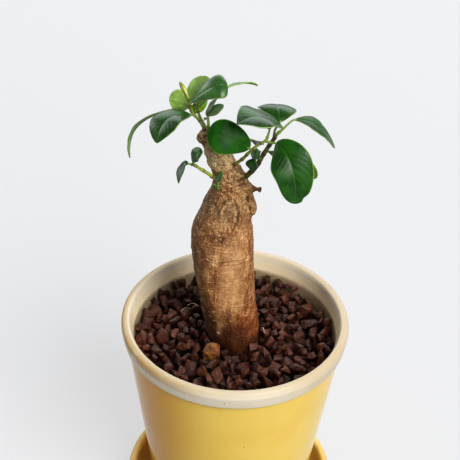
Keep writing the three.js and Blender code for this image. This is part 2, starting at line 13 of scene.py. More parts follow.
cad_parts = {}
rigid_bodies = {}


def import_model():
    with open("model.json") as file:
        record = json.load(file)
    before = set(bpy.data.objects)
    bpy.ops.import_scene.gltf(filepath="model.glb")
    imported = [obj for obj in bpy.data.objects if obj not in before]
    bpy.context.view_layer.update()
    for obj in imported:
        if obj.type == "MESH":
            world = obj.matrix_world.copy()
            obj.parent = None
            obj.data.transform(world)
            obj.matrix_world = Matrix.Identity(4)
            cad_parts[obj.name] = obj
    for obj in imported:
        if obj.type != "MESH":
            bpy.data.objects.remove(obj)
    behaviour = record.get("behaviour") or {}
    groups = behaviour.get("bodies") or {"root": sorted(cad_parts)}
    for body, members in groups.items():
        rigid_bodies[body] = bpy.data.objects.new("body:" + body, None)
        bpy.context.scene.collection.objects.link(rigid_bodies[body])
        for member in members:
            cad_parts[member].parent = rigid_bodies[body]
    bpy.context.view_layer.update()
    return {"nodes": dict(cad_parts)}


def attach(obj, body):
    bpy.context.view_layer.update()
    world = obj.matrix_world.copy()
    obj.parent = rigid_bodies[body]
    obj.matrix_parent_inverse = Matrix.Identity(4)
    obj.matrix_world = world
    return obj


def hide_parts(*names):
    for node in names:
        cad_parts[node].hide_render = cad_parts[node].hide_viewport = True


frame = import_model()
nodes = frame["nodes"]
mm = 0.001


# Small sums

def smoothStep(low, high, x):
    t = min(1.0, max(0.0, (x - low) / (high - low)))
    return t * t * (3 - 2 * t)


def hump(x, reach):  # 1 at x = 0, falling to nothing within about twice the reach
    return math.exp(-((x / reach) ** 2))


def between(a, b, t):
    return a + (b - a) * t


def curveThrough(points, perSpan):  # a centripetal curve through the points
    ends = [Vector(p) for p in points]
    ends = [2 * ends[0] - ends[1], *ends, 2 * ends[-1] - ends[-2]]
    curve = []
    for a, b, c, d in zip(ends, ends[1:], ends[2:], ends[3:]):
        tb = (b - a).length ** 0.5
        tc = tb + (c - b).length ** 0.5
        td = tc + (d - c).length ** 0.5
        for k in range(perSpan):
            t = between(tb, tc, k / perSpan)
            ab, bc = between(a, b, t / tb), between(b, c, (t - tb) / (tc - tb))
            cd = between(c, d, (t - tc) / (td - tc))
            abc, bcd = between(ab, bc, t / tc), between(bc, cd, (t - tb) / (td - tb))
            curve.append(between(abc, bcd, (t - tb) / (tc - tb)))
    return [*curve, ends[-2]]


def evenly(points, count, perSpan=12):  # a curve through the points, as evenly spaced points
    curve = curveThrough(points, perSpan)
    far = [0.0]
    for a, b in zip(curve, curve[1:]):
        far.append(far[-1] + (b - a).length)
    wanted = [far[-1] * k / (count - 1) for k in range(count)]
    spread = [np.interp(wanted, far, [p[axis] for p in curve]) for axis in range(3)]
    return [Vector(p) for p in zip(*spread)]


def bend(start, corner, end, steps):  # points on a round corner of a profile
    points = []
    for k in range(steps + 1):
        t = k / steps
        points.append([between(between(a, c, t), between(c, b, t), t) for a, c, b in zip(start, corner, end)])
    return points


# Pieces: rows of points joined into faces, with numbers per point for the materials

class Shape:
    def __init__(self):
        self.vertices, self.faces, self.finishes, self.marks = [], [], [], {}

    def add(self, rows, around=False, looped=False, capped=False, finish=0, **marks):
        start, wide, count = len(self.vertices), len(rows[0]), len(rows)
        for row in rows:
            self.vertices += row
        for name, values in marks.items():
            known = self.marks.setdefault(name, [])
            known += [0.0] * (start - len(known)) + list(values)
        made = []
        for i in range(count if looped else count - 1):
            here, there = start + i * wide, start + (i + 1) % count * wide
            for k in range(wide if around else wide - 1):
                after = (k + 1) % wide
                made.append((here + k, here + after, there + after, there + k))
        if capped:
            made.append(tuple(start + k for k in reversed(range(wide))))
            made.append(tuple(start + (count - 1) * wide + k for k in range(wide)))
        self.addFaces(made, finish)

    def addFaces(self, faces, finish=0):
        self.faces += faces
        self.finishes += [finish] * len(faces)


def solidOf(name):  # the piece leafCrownTop stands in for the node leaf_crown_top
    return "".join("_" + letter.lower() if letter.isupper() else letter for letter in name)


def dress(piece, slot, *stands):  # what every piece of the object gets
    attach(piece, "root")
    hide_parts(*stands)


def addPiece(name, shape, finishes, slot, *stands, smooth=True):
    mesh = bpy.data.meshes.new(name)
    mesh.from_pydata([Vector(v) * mm for v in shape.vertices], [], shape.faces)
    for finish in finishes:
        mesh.materials.append(finish)
    mesh.polygons.foreach_set("material_index", shape.finishes)
    mesh.polygons.foreach_set("use_smooth", [smooth] * len(mesh.polygons))
    for mark, values in shape.marks.items():
        values = values + [0.0] * (len(shape.vertices) - len(values))
        mesh.attributes.new(mark, "FLOAT", "POINT").data.foreach_set("value", values)
    work = bmesh.new()
    work.from_mesh(mesh)
    bmesh.ops.recalc_face_normals(work, faces=work.faces)
    work.to_mesh(mesh)
    work.free()
    piece = bpy.data.objects.new(name, mesh)
    bpy.context.scene.collection.objects.link(piece)
    dress(piece, slot, *stands)


def addTurned(shape, profile, segments, wobble, looped=False):
    rows = []
    for radius, height in profile:
        row = []
        for k in range(segments):
            angle = 2 * math.pi * k / segments
            out = radius + wobble * noise.noise(Vector((math.cos(angle), math.sin(angle), height / 30)) * 1.5)
            row.append(Vector((out * math.cos(angle), out * math.sin(angle), height)))
        rows.append(row)
    shape.add(rows, around=True, looped=looped, capped=not looped)


def addTube(shape, line, radii, sides, finish=0, **marks):
    side = Vector((0.3, 1, 0.2))
    rows, values = [], {name: [] for name in marks}
    for i, centre in enumerate(line):
        tangent = (line[min(i + 1, len(line) - 1)] - line[max(i - 1, 0)]).normalized()
        side = (side - tangent * side.dot(tangent)).normalized()
        other = tangent.cross(side)
        turns = [2 * math.pi * k / sides for k in range(sides)]
        rows.append([centre + (side * math.cos(a) + other * math.sin(a)) * radii[i] for a in turns])
        for name, along in marks.items():
            values[name] += [along[i]] * sides
    shape.add(rows, around=True, capped=True, finish=finish, **values)


# Node trees, where sums on wires become nodes

class Sheet:
    def __init__(self, tree):
        self.tree = tree

    def node(self, kind, settings=None, inputs=(), output=0):  # inputs are values, or wires to link
        made = self.tree.nodes.new(kind)
        for name, value in (settings or {}).items():
            if name == "stops":
                steps = made.color_ramp.elements
                while len(steps) < len(value):
                    steps.new(1)
                for step, (at, colour) in zip(steps, value):
                    step.position, step.color = at, linear(colour)
            else:
                setattr(made, name, value)
        for name, value in inputs.items() if isinstance(inputs, dict) else enumerate(inputs):
            if isinstance(value, Wire):
                self.tree.links.new(value.socket, made.inputs[name])
            else:
                made.inputs[name].default_value = value
        if len(made.outputs):
            return Wire(self, made.outputs[output])


class Wire:
    def __init__(self, sheet, socket):
        self.sheet, self.socket = sheet, socket

    def maths(self, operation, *others):
        return self.sheet.node("ShaderNodeMath", {"operation": operation}, [self, *others])

    def __add__(self, other):
        return self.maths("ADD", other)

    def __sub__(self, other):
        return self.maths("SUBTRACT", other)

    def __mul__(self, other):
        return self.maths("MULTIPLY", other)

    def __truediv__(self, other):
        return self.maths("DIVIDE", other)

    def __rsub__(self, other):
        return self.sheet.node("ShaderNodeMath", {"operation": "SUBTRACT"}, [other, self])

    __radd__ = __add__
    __rmul__ = __mul__


# Materials

def linear(colour):  # a colour of 0 to 255 as the shader reads it; a wire stays as it is
    if isinstance(colour, Wire):
        return colour
    return (*[c / 255 / 12.92 if c <= 10 else ((c / 255 + 0.055) / 1.055) ** 2.4 for c in colour], 1)


def shade(colour, share):
    return [c * share for c in colour]


class Finish(Sheet):
    def __init__(self, name):
        self.material = bpy.data.materials.new(name)
        self.material.use_nodes = True
        super().__init__(self.material.node_tree)
        self.tree.nodes.clear()
        self.place = self.node("ShaderNodeTexCoord", output="Object")

    def mark(self, name):
        return self.node("ShaderNodeAttribute", {"attribute_name": name}, output="Fac")

    def where(self):  # across, height, and distance from the pot's middle axis, in millimetres
        x, y, z = [self.node("ShaderNodeSeparateXYZ", inputs=[self.place], output=k) for k in range(3)]
        return x / mm, z / mm, (x * x + y * y).maths("SQRT") / mm

    def mottle(self, size, detail=3.0, rough=0.5, swirl=0.0, squeeze=None):  # spots of a size in millimetres
        vector = self.place
        if squeeze:
            vector = self.node("ShaderNodeMapping", inputs={"Vector": vector, "Scale": squeeze})
        inputs = {"Vector": vector, "Scale": 1 / (size * mm), "Detail": detail, "Roughness": rough,
                  "Distortion": swirl}
        return self.node("ShaderNodeTexNoise", inputs=inputs)

    def cells(self, size, output="Distance"):
        inputs = {"Vector": self.place, "Scale": 1 / (size * mm)}
        return self.node("ShaderNodeTexVoronoi", inputs=inputs, output=output)

    def step(self, value, low, high, start=0.0, end=1.0):
        inputs = {"Value": value, "From Min": low, "From Max": high, "To Min": start, "To Max": end}
        return self.node("ShaderNodeMapRange", {"interpolation_type": "SMOOTHSTEP"}, inputs)

    def line(self, offset, far, close):  # 1 where the offset is small to either side
        return self.step(offset.maths("ABSOLUTE"), far, close)

    def near(self, point, reach, soft=0.5):  # 1 close to a point of the piece, 0 beyond the reach
        there = tuple(c * mm for c in point)
        far = self.node("ShaderNodeVectorMath", {"operation": "DISTANCE"}, [self.place, there], "Value")
        return self.step(far, reach * mm * (1 - soft), reach * mm, 1.0, 0.0)

    def ramp(self, value, *stops):
        return self.node("ShaderNodeValToRGB", {"stops": stops}, [value])

    def mix(self, share, a, b):
        inputs = {0: share, 6: linear(a), 7: linear(b)}
        return self.node("ShaderNodeMix", {"data_type": "RGBA"}, inputs, 2)

    def layered(self, colour, *layers):  # each layer is a share and the colour that it lays over those before
        for share, over in layers:
            colour = self.mix(share, colour, over)
        return colour

    def bump(self, height, depth, under=None):  # depth in millimetres for a height of 1
        inputs = {"Height": height, "Distance": depth * mm, "Strength": 1.0}
        if under:
            inputs["Normal"] = under
        return self.node("ShaderNodeBump", inputs=inputs)

    def done(self, colour, roughness, normal=None, specular=0.5, **even):
        inputs = {"Base Color": linear(colour), "Roughness": roughness, "Specular IOR Level": specular}
        if normal:
            inputs["Normal"] = normal
        inputs.update({name.replace("_", " "): value for name, value in even.items()})
        surface = self.node("ShaderNodeBsdfPrincipled", inputs=inputs)
        self.node("ShaderNodeOutputMaterial", inputs={"Surface": surface})
        return self.material


# Camera and studio

view = {  # millimetres, but metres for how near and far it sees
    "place": (0, -495.89, 551.23), "forward": (-0.0072, 0.8076, -0.5898), "right": (0.9991, 0.0301, 0.0289),
    "lens": 96.13, "sensor": 36, "nearest": 0.01, "farthest": 30,
}
studio = {  # metres, and watts; the colours of light are from 0 to 1
    "sky": (0.95, 0.97, 1.0), "skyStrength": 0.185, "skySheen": 0.15, "aim": (0, 0, 0.15),
    "floor": (126, 127, 130), "floorGlow": 0.44, "floorRoughness": 0.85, "floorSide": 6.0,
    "floorDrop": 0.0003,
    "lamps": {  # place, size, watts, colour, and whether its light and its gloss are seen
        "keyRight": [(0.87, -1.11, 1.4), (1.2, 1.2), 45.0, (1.0, 0.985, 0.96), True, True],
        "fillLeft": [(-1.4, -0.7, 0.6), (0.7, 1.2), 4.5, (1.0, 0.97, 0.92), True, False],
        "fillBack": [(0.1, 1.5, 0.95), (3.4, 1.1), 30.0, (0.95, 0.97, 1.0), True, True],
        "sheenLeft": [(-1.3, 0.56, 0.76), (0.9, 0.9), 12.0, (0.97, 0.98, 1.0), False, True],
    },
}


def addCamera():
    back = -Vector(view["forward"]).normalized()
    right = Vector(view["right"])
    right = (right - back * right.dot(back)).normalized()
    up = back.cross(right)
    camera = bpy.data.objects.new("camera", bpy.data.cameras.new("camera"))
    camera.data.lens, camera.data.sensor_width = view["lens"], view["sensor"]
    camera.data.clip_start, camera.data.clip_end = view["nearest"], view["farthest"]
    turn = Matrix((right, up, back)).transposed().to_4x4()
    camera.matrix_world = Matrix.Translation(Vector(view["place"]) * mm) @ turn
    bpy.context.scene.collection.objects.link(camera)
    bpy.context.scene.camera = camera


def addRoomLight():
    scene = bpy.context.scene
    world = bpy.data.worlds.new("softWhiteRoom")
    scene.world = world
    world.use_nodes = True
    light = world.node_tree.nodes["Background"]
    light.inputs["Color"].default_value = (*studio["sky"], 1)
    sheet = Sheet(world.node_tree)
    gloss = sheet.node("ShaderNodeLightPath", output="Is Glossy Ray")
    ends = {"Value": gloss, "To Min": studio["skyStrength"], "To Max": studio["skySheen"]}
    strength = sheet.node("ShaderNodeMapRange", inputs=ends)  # gloss sees a dimmer room than the shadows do
    world.node_tree.links.new(strength.socket, light.inputs["Strength"])
    scene.view_settings.view_transform = "Standard"
    scene.view_settings.look = "Medium High Contrast"


def addLamps():
    for name, (place, size, watts, colour, diffuse, gloss) in studio["lamps"].items():
        data = bpy.data.lights.new(name, "AREA")
        data.shape, data.energy, data.color = "RECTANGLE", watts, colour
        data.size, data.size_y = size
        lamp = bpy.data.objects.new(name, data)
        lamp.location = place
        lamp.visible_diffuse, lamp.visible_glossy = diffuse, gloss
        lamp.rotation_euler = (Vector(studio["aim"]) - lamp.location).to_track_quat("-Z", "Y").to_euler()
        bpy.context.scene.collection.objects.link(lamp)


def addFloor():
    half, drop = studio["floorSide"] / 2, studio["floorDrop"]
    mesh = bpy.data.meshes.new("floor")
    corners = [(x * half, y * half, -drop) for x, y in ((-1, -1), (1, -1), (1, 1), (-1, 1))]
    mesh.from_pydata(corners, [], [(0, 1, 2, 3)])
    glow = {"Emission_Color": (1, 1, 1, 1), "Emission_Strength": studio["floorGlow"]}
    mesh.materials.append(Finish("palePaper").done(studio["floor"], studio["floorRoughness"], **glow))
    floor = bpy.data.objects.new("floor", mesh)
    floor.visible_diffuse = False  # no bounce, so shaded sides stay deep
    bpy.context.scene.collection.objects.link(floor)


addCamera()
addRoomLight()
addLamps()
addFloor()
print("camera and studio are set")


# Pot

pot = {
    "lipRadius": 60, "lipHeight": 131, "rimTop": 133.2, "lipDepth": 9, "lipSide": 59.95, "lipFoot": 58.9,
    "grooveRadius": 56.9, "bodyTopRadius": 57.2, "taper": 0.132, "wall": 3.7, "base": 5, "floor": 6,
    "footRecess": 1.5, "footWidth": 3.5, "drainRadius": 6, "segments": 192, "wobble": 0.04, "specular": 0.15,
    "yellow": (238, 205, 104), "deep": (228, 186, 78), "leftShadeHoney": (222, 150, 36), "cream": (228, 219, 199),
    "clouded": (214, 198, 160), "inside": (224, 204, 166), "rim": (172, 154, 124), "dust": (96, 72, 46),
    "lipRightShade": (174, 150, 116), "rimLeftShade": (176, 154, 112), "worn": (182, 146, 92),
    "grooveShadow": (142, 102, 52), "bisque": (186, 150, 112), "speck": (96, 78, 52),
}
grooveHeight = pot["lipHeight"] - pot["lipDepth"]


def bodyRadius(height):
    return pot["bodyTopRadius"] - pot["taper"] * (grooveHeight - height)


def innerRadius(height):
    return bodyRadius(height) - pot["wall"]


def potProfile():
    lip, lipSide, lipFoot = pot["lipRadius"], pot["lipSide"], pot["lipFoot"]
    base, lipHeight, top, sideTop = pot["base"], pot["lipHeight"], pot["rimTop"], pot["lipHeight"] - 1.6
    foot, groove, floor = bodyRadius(base), pot["grooveRadius"], base + pot["floor"]
    footInside, floorEdge = foot - pot["footWidth"], innerRadius(floor)
    return [
        [pot["drainRadius"], base + pot["footRecess"]],
        [footInside - 1, base + pot["footRecess"]],
        *bend([footInside - 0.4, base + 0.6], [footInside, base], [foot - 2.6, base], 4),
        *bend([foot - 0.9, base], [foot, base], [foot, base + 0.8], 4),
        *[[bodyRadius(h), h] for h in np.linspace(base + 1.2, grooveHeight - 1.4, 40)],
        *bend([bodyRadius(grooveHeight - 1), grooveHeight - 1], [groove + 0.2, grooveHeight - 0.1],
              [groove, grooveHeight], 4),
        *bend([groove + 0.3, grooveHeight + 0.25], [lipFoot - 0.2, grooveHeight + 0.2],
              [lipFoot, grooveHeight + 1.7], 7),
        *bend([lipFoot + 0.3, grooveHeight + 3], [lipSide, sideTop], [lipSide, sideTop], 5),
        *bend([lipSide, lipHeight - 0.8], [lipSide, top], [lip - 2.6, top], 10),
        *bend([lip - 3.0, top], [lip - 5.1, top], [innerRadius(lipHeight) + 0.25, lipHeight - 2], 10),
        *[[innerRadius(h), h] for h in np.linspace(lipHeight - 6, floor + 4, 20)],
        *bend([innerRadius(floor + 3), floor + 3], [floorEdge, floor], [floorEdge - 3, floor], 5),
        [pot["drainRadius"], floor],
    ]


def potGlaze():
    f = Finish("potGlaze")
    across, height, radius = f.where()
    outer = f.step(radius - (height * pot["taper"] + bodyRadius(0) - pot["wall"] / 2), -0.2, 0.2)
    onBody = outer * f.step(height + f.mottle(9, 2) * 0.5, grooveHeight + 0.15, grooveHeight + 0.45, 1.0, 0.0)
    drift = f.mottle(14, 3)
    yellow = f.layered(
        pot["yellow"],
        (f.step(f.mottle(46, 2) * 0.6 + drift * 0.4, 0.42, 0.62) * 0.35, pot["deep"]),
        (f.step(height + drift * 5, 12, 5) * 0.5, pot["deep"]),  # thicker just above the foot
        # Painted shade: the left of the body is laid over in a darker honey yellow
        (f.step(across + drift * 6, -8, -40) * 0.74, pot["leftShadeHoney"]),
    )
    inside = f.step(height - 1.2, pot["lipHeight"] - 1.5, pot["lipHeight"] - 6) * (1 - outer)
    # Dust and painted shade darken the inner wall just above the gravel
    dirtAndShade = f.step(height + f.mottle(4, 3) * 2, 126.2, 123.0) * inside
    # Painted shade: the top of the lip is darker on the left
    rimLeftShade = f.step(across, -12, -54) * f.step(height, 129.5, 132.5) * outer
    edge = f.step(radius, pot["lipRadius"] - 2.6, pot["lipRadius"] - 0.9) * f.step(height, 127.2, 129.6)
    worn = edge * f.step(across, -6, -46) * f.step(f.mottle(11, 4, 0.6), 0.28, 0.50)
    cream = f.layered(
        pot["cream"],
        (f.step(f.mottle(17, 4), 0.4, 0.7) * 0.35, pot["clouded"]),
        (inside * 0.7, pot["inside"]),
        # Painted shade: the top of the lip is laid darker all round
        (f.step(height, 130.2, 132.6) * 0.5, pot["rim"]),
        # Painted shade: the right of the lip is laid darker
        (f.step(across, 14, 54) * outer * 0.42, pot["lipRightShade"]),
        (dirtAndShade * 0.7, pot["dust"]),
        (rimLeftShade * 0.55, pot["rimLeftShade"]),
        (worn * 0.75, pot["worn"]),  # painted shade and a painted reflection turn the left of the lip's outer edge tan
    )
    specks = f.step(f.cells(6.5), 0.075, 0.045) * f.step(f.cells(6.5, "Color"), 0.72, 0.76)  # only some cells
    bare = f.step(height, pot["base"] + 0.9, pot["base"] + 0.3)
    colour = f.layered(
        f.mix(onBody, cream, yellow),
        (specks * 0.75, pot["speck"]),
        # Painted shadow: a dark line along the groove under the lip
        (f.line(height - grooveHeight, 0.6, 0.15) * outer * 0.7, pot["grooveShadow"]),
        (bare, pot["bisque"]),
    )
    roughness = f.mottle(5, 3) * 0.05 + 0.085 + (1 - onBody) * 0.17 + bare * 0.6
    normal = f.bump(f.mottle(1.6, 3), 0.008, f.bump(f.mottle(21, 2), 0.22))
    return f.done(colour, roughness, normal, pot["specular"])


def addPot():
    shape = Shape()
    addTurned(shape, potProfile(), pot["segments"], pot["wobble"], looped=True)
    addPiece("potShell", shape, [potGlaze()], "pot_glaze", "pot")


addPot()
print("pot is made")


# Saucer

saucer = {
    "radius": 58.7, "height": 20, "floor": 5, "foot": 46, "footInside": 39.6, "wall": 4.8, "recess": 0.9,
    "segments": 176, "wobble": 0.1, "specular": 0.15,
    "pale": (220, 190, 112), "deep": (166, 128, 66), "edge": (222, 194, 124), "bisque": (186, 150, 112),
}


def saucerProfile():
    out, high, floor, foot = saucer["radius"], saucer["height"], saucer["floor"], saucer["foot"]
    rim, inside, hole = out - saucer["wall"] / 2, out - saucer["wall"], saucer["footInside"]
    return [
        [2, saucer["recess"]], [hole - 1.2, saucer["recess"]], [hole - 0.4, 0.2], [hole, 0], [foot - 0.6, 0],
        *bend([foot - 0.2, 0.05], [out - 3.5, 3], [out - 0.6, high - 7], 14),
        *bend([out - 0.3, high - 5], [out, high], [rim, high], 10),
        *bend([rim - 0.5, high], [inside, high], [inside - 0.25, high - 3.4], 8),
        *bend([inside - 0.6, high - 6], [inside - 2.8, floor], [inside - 7.5, floor], 10),
        [30, floor], [2, floor],
    ]


def saucerGlaze():
    f = Finish("saucerGlaze")
    high = saucer["height"]
    height, radius = f.where()[1:]
    edge = f.step(height, high - 1.2, high - 0.1) * 0.5 * f.step(f.mottle(8, 3), 0.35, 0.6)
    inside = f.step(height, high - 0.6, high - 5) * f.step(radius - height * 0.16, 53.2, 51.8)
    bare = f.step(height, 0.5, 0.15)
    colour = f.layered(
        saucer["pale"],
        (f.step(f.mottle(30, 3), 0.4, 0.65) * 0.45, saucer["deep"]),
        (edge, saucer["edge"]),
        # Painted shade: the inside of the saucer is laid in the deep yellow
        (inside * 0.75, saucer["deep"]),
        (bare, saucer["bisque"]),
    )
    roughness = f.mottle(4, 3) * 0.06 + 0.22 + bare * 0.6
    normal = f.bump(f.mottle(1.6, 3), 0.008, f.bump(f.mottle(19, 2), 0.2))
    return f.done(colour, roughness, normal, saucer["specular"])


def addSaucer():
    shape = Shape()
    addTurned(shape, saucerProfile(), saucer["segments"], saucer["wobble"])
    addPiece("saucerDish", shape, [saucerGlaze()], "saucer_glaze", "saucer")


addSaucer()
print("saucer is made")


# Trunk

trunk = {
    "outlines": [  # height, left edge, right edge
        [116, -12.4, 12.8], [124, -14.8, 12.7], [134, -17.0, 11.5], [144, -18.8, 10.2], [154, -20.6, 9.2],
        [164, -22.1, 8.4], [174, -23.3, 7.9], [183, -23.9, 7.5], [190, -23.2, 6.8], [196, -21.2, 6.0],
        [203, -18.5, 6.8], [209, -15.9, 6.2], [214, -14.2, 4.9], [219, -13.1, 3.3], [224, -14.0, 0.9],
        [229, -16.2, -2.8], [234, -17.7, -5.6], [239, -18.6, -8.6], [243, -20.4, -12.0], [246, -19.8, -14.0],
    ],
    "root": {"bottom": 70, "end": 8.6, "radius": 12.4, "soil": 108},
    "swellings": [  # at, reach, rise
        [(9, -3, 205.5), 5, 2.5], [(3, -6, 216), 4, 1.2], [(-20.5, -1, 242.5), 3, 1.4],
        [(-13, -5, 222.5), 2.6, 1.5], [(1, -1, 221), 3, 1.2], [(-7, -14, 196), 7, 0.9],
        [(-2, 14, 176), 9, 1.3], [(-16, 12, 206), 7, 1.6],
        [(-20.2, -3.2, 243.6), 1.9, 0.9], [(-4.5, -4.5, 227.5), 2.4, 0.5], [(6.6, -4.6, 208.8), 1.8, 0.7],
        [(7.6, -3.6, 203.6), 2.0, 0.5], [(-9.6, -6.6, 219.4), 2.2, 0.5], [(-1.5, -9.5, 212), 2.6, 0.5],
        [(6.4, -3.2, 212.6), 2.4, 1.1], [(-10.4, -8.6, 209.4), 1.8, 0.5], [(0.8, -9.6, 204.6), 2.0, 0.5],
    ],
    "pits": [  # at, reach, depth: small dark hollows
        [(-2.6, -12.6, 198.1), 0.8, 1.1], [(5.6, -6.3, 207), 1.0, 0.9], [(4.6, -7.4, 203.4), 0.9, 0.4],
        [(2.5, -13, 187), 1.8, 0.5], [(8, -6, 199), 2.0, 0.9], [(-8, -14.1, 191.3), 0.7, 0.5],
        [(-5.6, -13.6, 192.2), 0.9, 0.5], [(-10.2, -13.8, 194), 0.8, 0.4], [(3.2, -7.6, 210.6), 0.7, 0.5],
        [(-12, 12, 188), 1.4, 0.8], [(-3, 13, 201), 1.2, 0.9], [(4.0, -6.9, 209.6), 0.8, 0.9],
        [(3.9, -6.2, 213), 0.8, 0.8], [(-2.0, -10.8, 205.0), 0.5, 0.9], [(-2.2, -11.6, 201.8), 0.5, 0.9],
        [(-8.6, -10.4, 208.4), 0.6, 0.6], [(-12.4, -7.6, 212.4), 0.9, 0.5], [(-6.6, -6.8, 224.2), 0.6, 0.6],
    ],
    "grooves": [  # depth, reach, then x and height along each crack on the front
        [0.75, 0.42, (-10.2, 204.4), (-8.6, 209.6), (-6.6, 212.8), (-4.2, 214), (-1.8, 212.4), (-0.8, 207.8),
         (-1.2, 202.4), (-2.6, 198.4)],
        [0.5, 0.36, (-7.8, 202.4), (-6.9, 207.2), (-5.2, 209.8), (-3.6, 208.2), (-3.0, 203.2), (-3.6, 199.6)],
        [0.32, 0.35, (-12.6, 207.4), (-10.8, 212), (-7.8, 216.2), (-3.4, 217.4), (0.4, 214.6), (1.6, 209)],
        [0.35, 0.35, (-5.6, 205.6), (-5.0, 201.8), (-5.8, 198.4), (-4.8, 195.4)],
        [0.6, 0.5, (3.8, 214.4), (4.1, 211), (4.6, 208), (5.6, 205.6), (6.2, 202)],
        [0.3, 0.35, (0.6, 203.6), (1.4, 199.4), (0.9, 195.2)],
    ],
    "creases": [  # height, tilt, depth, share of the way round
        [179.2, 0.10, 0.30, 0.9], [176.6, -0.06, 0.16, 0.5], [184.6, 0.05, 0.12, 0.35],
        [167.5, 0.04, 0.10, 0.4], [158.2, -0.05, 0.10, 0.4], [149.0, 0.03, 0.10, 0.3],
        [223.4, 0.25, 0.22, 0.5], [216.8, 0.12, 0.16, 0.4], [236.5, -0.10, 0.22, 0.5],
        [241.2, 0.12, 0.25, 0.6],
    ],
    "lobeDepth": 0.03, "sides": 250, "perSpan": 19,
    "stub": [(0.4, -2.3, 216.0), (2.6, -2.9, 216.5), (5.5, -3.4, 216.8), (8.2, -3.8, 217.0),
             (10.1, -4, 216.7)],
    "specular": 0.22, "seed": 4,
}
barkTones = {  # where there are steps, each colour stands behind its place on the ramp
    "brown": [(0.40, (62, 35, 17)), (0.46, (122, 76, 42)), (0.525, (172, 120, 75)), (0.59, (228, 190, 140))],
    "ash": [(0.40, (58, 40, 24)), (0.455, (122, 94, 64)), (0.515, (176, 148, 110)), (0.58, (236, 216, 174))],
    "rusty": [(0.40, (66, 27, 9)), (0.5, (128, 66, 29)), (0.60, (178, 104, 52))],
    "knob": [(0.4, (74, 38, 22)), (0.6, (150, 92, 60))], "stub": [(0.4, (70, 46, 28)), (0.6, (146, 104, 66))],
    "smooth": (234, 188, 136), "foot": (50, 24, 9), "furrow": (60, 23, 7), "ridge": (198, 150, 98),
    "shaded": (54, 28, 9), "neck": (112, 78, 48), "dash": (236, 194, 132), "tick": (232, 192, 132),
    "fleck": (236, 208, 150), "pit": (46, 27, 15), "scar": (98, 79, 60), "darkRing": (82, 63, 46),
    "paleRing": (212, 176, 132), "scarRim": (104, 44, 20), "patch": (60, 46, 36), "chalk": (200, 164, 120),
    "white": (236, 226, 198), "cavityShade": (34, 20, 11), "worn": (232, 192, 138),
}


def lean(height):
    return 1.2 * math.sin((height - trunk["root"]["soil"]) / 42)


def trunkStations():  # centre x, radius and height of each ring
    root = trunk["root"]
    spine = curveThrough([((l + r) / 2, (r - l) / 2, h) for h, l, r in trunk["outlines"]], trunk["perSpan"])
    low, high = spine[0], spine[-1]
    under = [(0, root["end"] - 2, root["bottom"]), (0, root["end"], root["bottom"] + 3)]
    under += [(0, between(root["end"], root["radius"], t), between(root["bottom"] + 3, root["soil"] - 4, t))
              for t in (0.33, 0.67, 1)]
    under += [(low.x * t / 2, root["radius"] + 0.1 * t, root["soil"] - 4 + 7 * t) for t in (0.5, 1)]
    under += [(between(low.x / 2, low.x, t), between(root["radius"] + 0.1, low.y, t),
               between(root["soil"] + 3, low.z, t)) for t in (0.25, 0.5, 0.75)]
    over = [(high.x, high.y * math.cos(t), high.z + 1.4 * math.sin(t)) for t in (0.35, 0.7, 1.0, 1.25, 1.42)]
    return [*under, *[tuple(p) for p in spine], *over]


def crackLines():  # depth and reach of each crack, and close points along it
    cracks = []
    for depth, reach, *turns in trunk["grooves"]:
        line = evenly([(x, height, 0) for x, height in turns], 30, 6)
        cracks.append((depth, reach, [spot.to_2d() for spot in line]))
    return cracks


def ridges(point, wide, high, *fractal):
    return noise.fractal(Vector((point.x / wide, point.y / wide, point.z / high)), *fractal)


def barkRelief(point, angle, cracks):  # how far the bark stands out at a point; smooth in the soil
    height = point.z
    neck = smoothStep(196, 226, height)
    broad = 0.34 * noise.noise(point / 8.5) + 0.20 * noise.noise(point / 4.2 + Vector((7, 3, 1)))
    rough = ridges(point, 2.1, 1.6, 0.8, 2.1, 4) * (0.12 + 0.26 * neck)
    bands = ridges(point, 5.5, 0.9, 1.0, 2.0, 3) * 0.08 * (1 - neck)
    grain = ridges(point, 1.0, 7, 1.0, 2.0, 2) * 0.07
    flakes = smoothStep(0.1, 0.4, noise.noise(point / 1.5 + Vector((3, 8, 2)))) * (0.10 + 0.22 * neck)
    out = broad + rough + bands + grain + flakes
    for level, tilt, depth, share in trunk["creases"]:
        wander = noise.noise(Vector((math.cos(angle) * 2, math.sin(angle) * 2, level)))
        line = level + tilt * point.x + 0.9 * wander
        chance = 0.5 + noise.noise(Vector((angle * 1.3, level, 0)))
        there = smoothStep(1 - share - 0.25, 1 - share + 0.25, chance)
        out -= depth * there * hump(height - line, 0.34)
        out += depth * 0.5 * there * hump(height - line - 0.9, 0.5)
    if point.y < 0 and 192 < height < 220:
        shifted = Vector((point.x, height)) + 0.8 * Vector(noise.noise_vector(point / 2.2)[:2])
        worn = smoothStep(-0.35, 0.35, noise.noise(point / 2.0 + Vector((5, 1, 9))))
        for depth, reach, line in cracks:
            far = min((spot - shifted).length for spot in line)
            out += depth * (0.3 + 0.9 * worn) * (0.4 * hump(far - 2.4 * reach, reach) - hump(far, reach))
    return out * smoothStep(112, 122, height)


def addStub(shape):  # what is left of a cut branch
    line = evenly(trunk["stub"], 30)
    radii = []
    for i in range(len(line)):
        t = i / (len(line) - 1)
        knots = 0.22 * hump(t - 0.42, 0.08) + 0.34 * hump(t - 0.93, 0.07) - 0.2 * hump(t - 0.8, 0.08)
        radii.append(between(3.3, 1.05, smoothStep(0.3, 0.78, t)) + knots)
    radii[-1] *= 0.55
    addTube(shape, line, radii, sides=28, hollow=[0.62] * len(line))


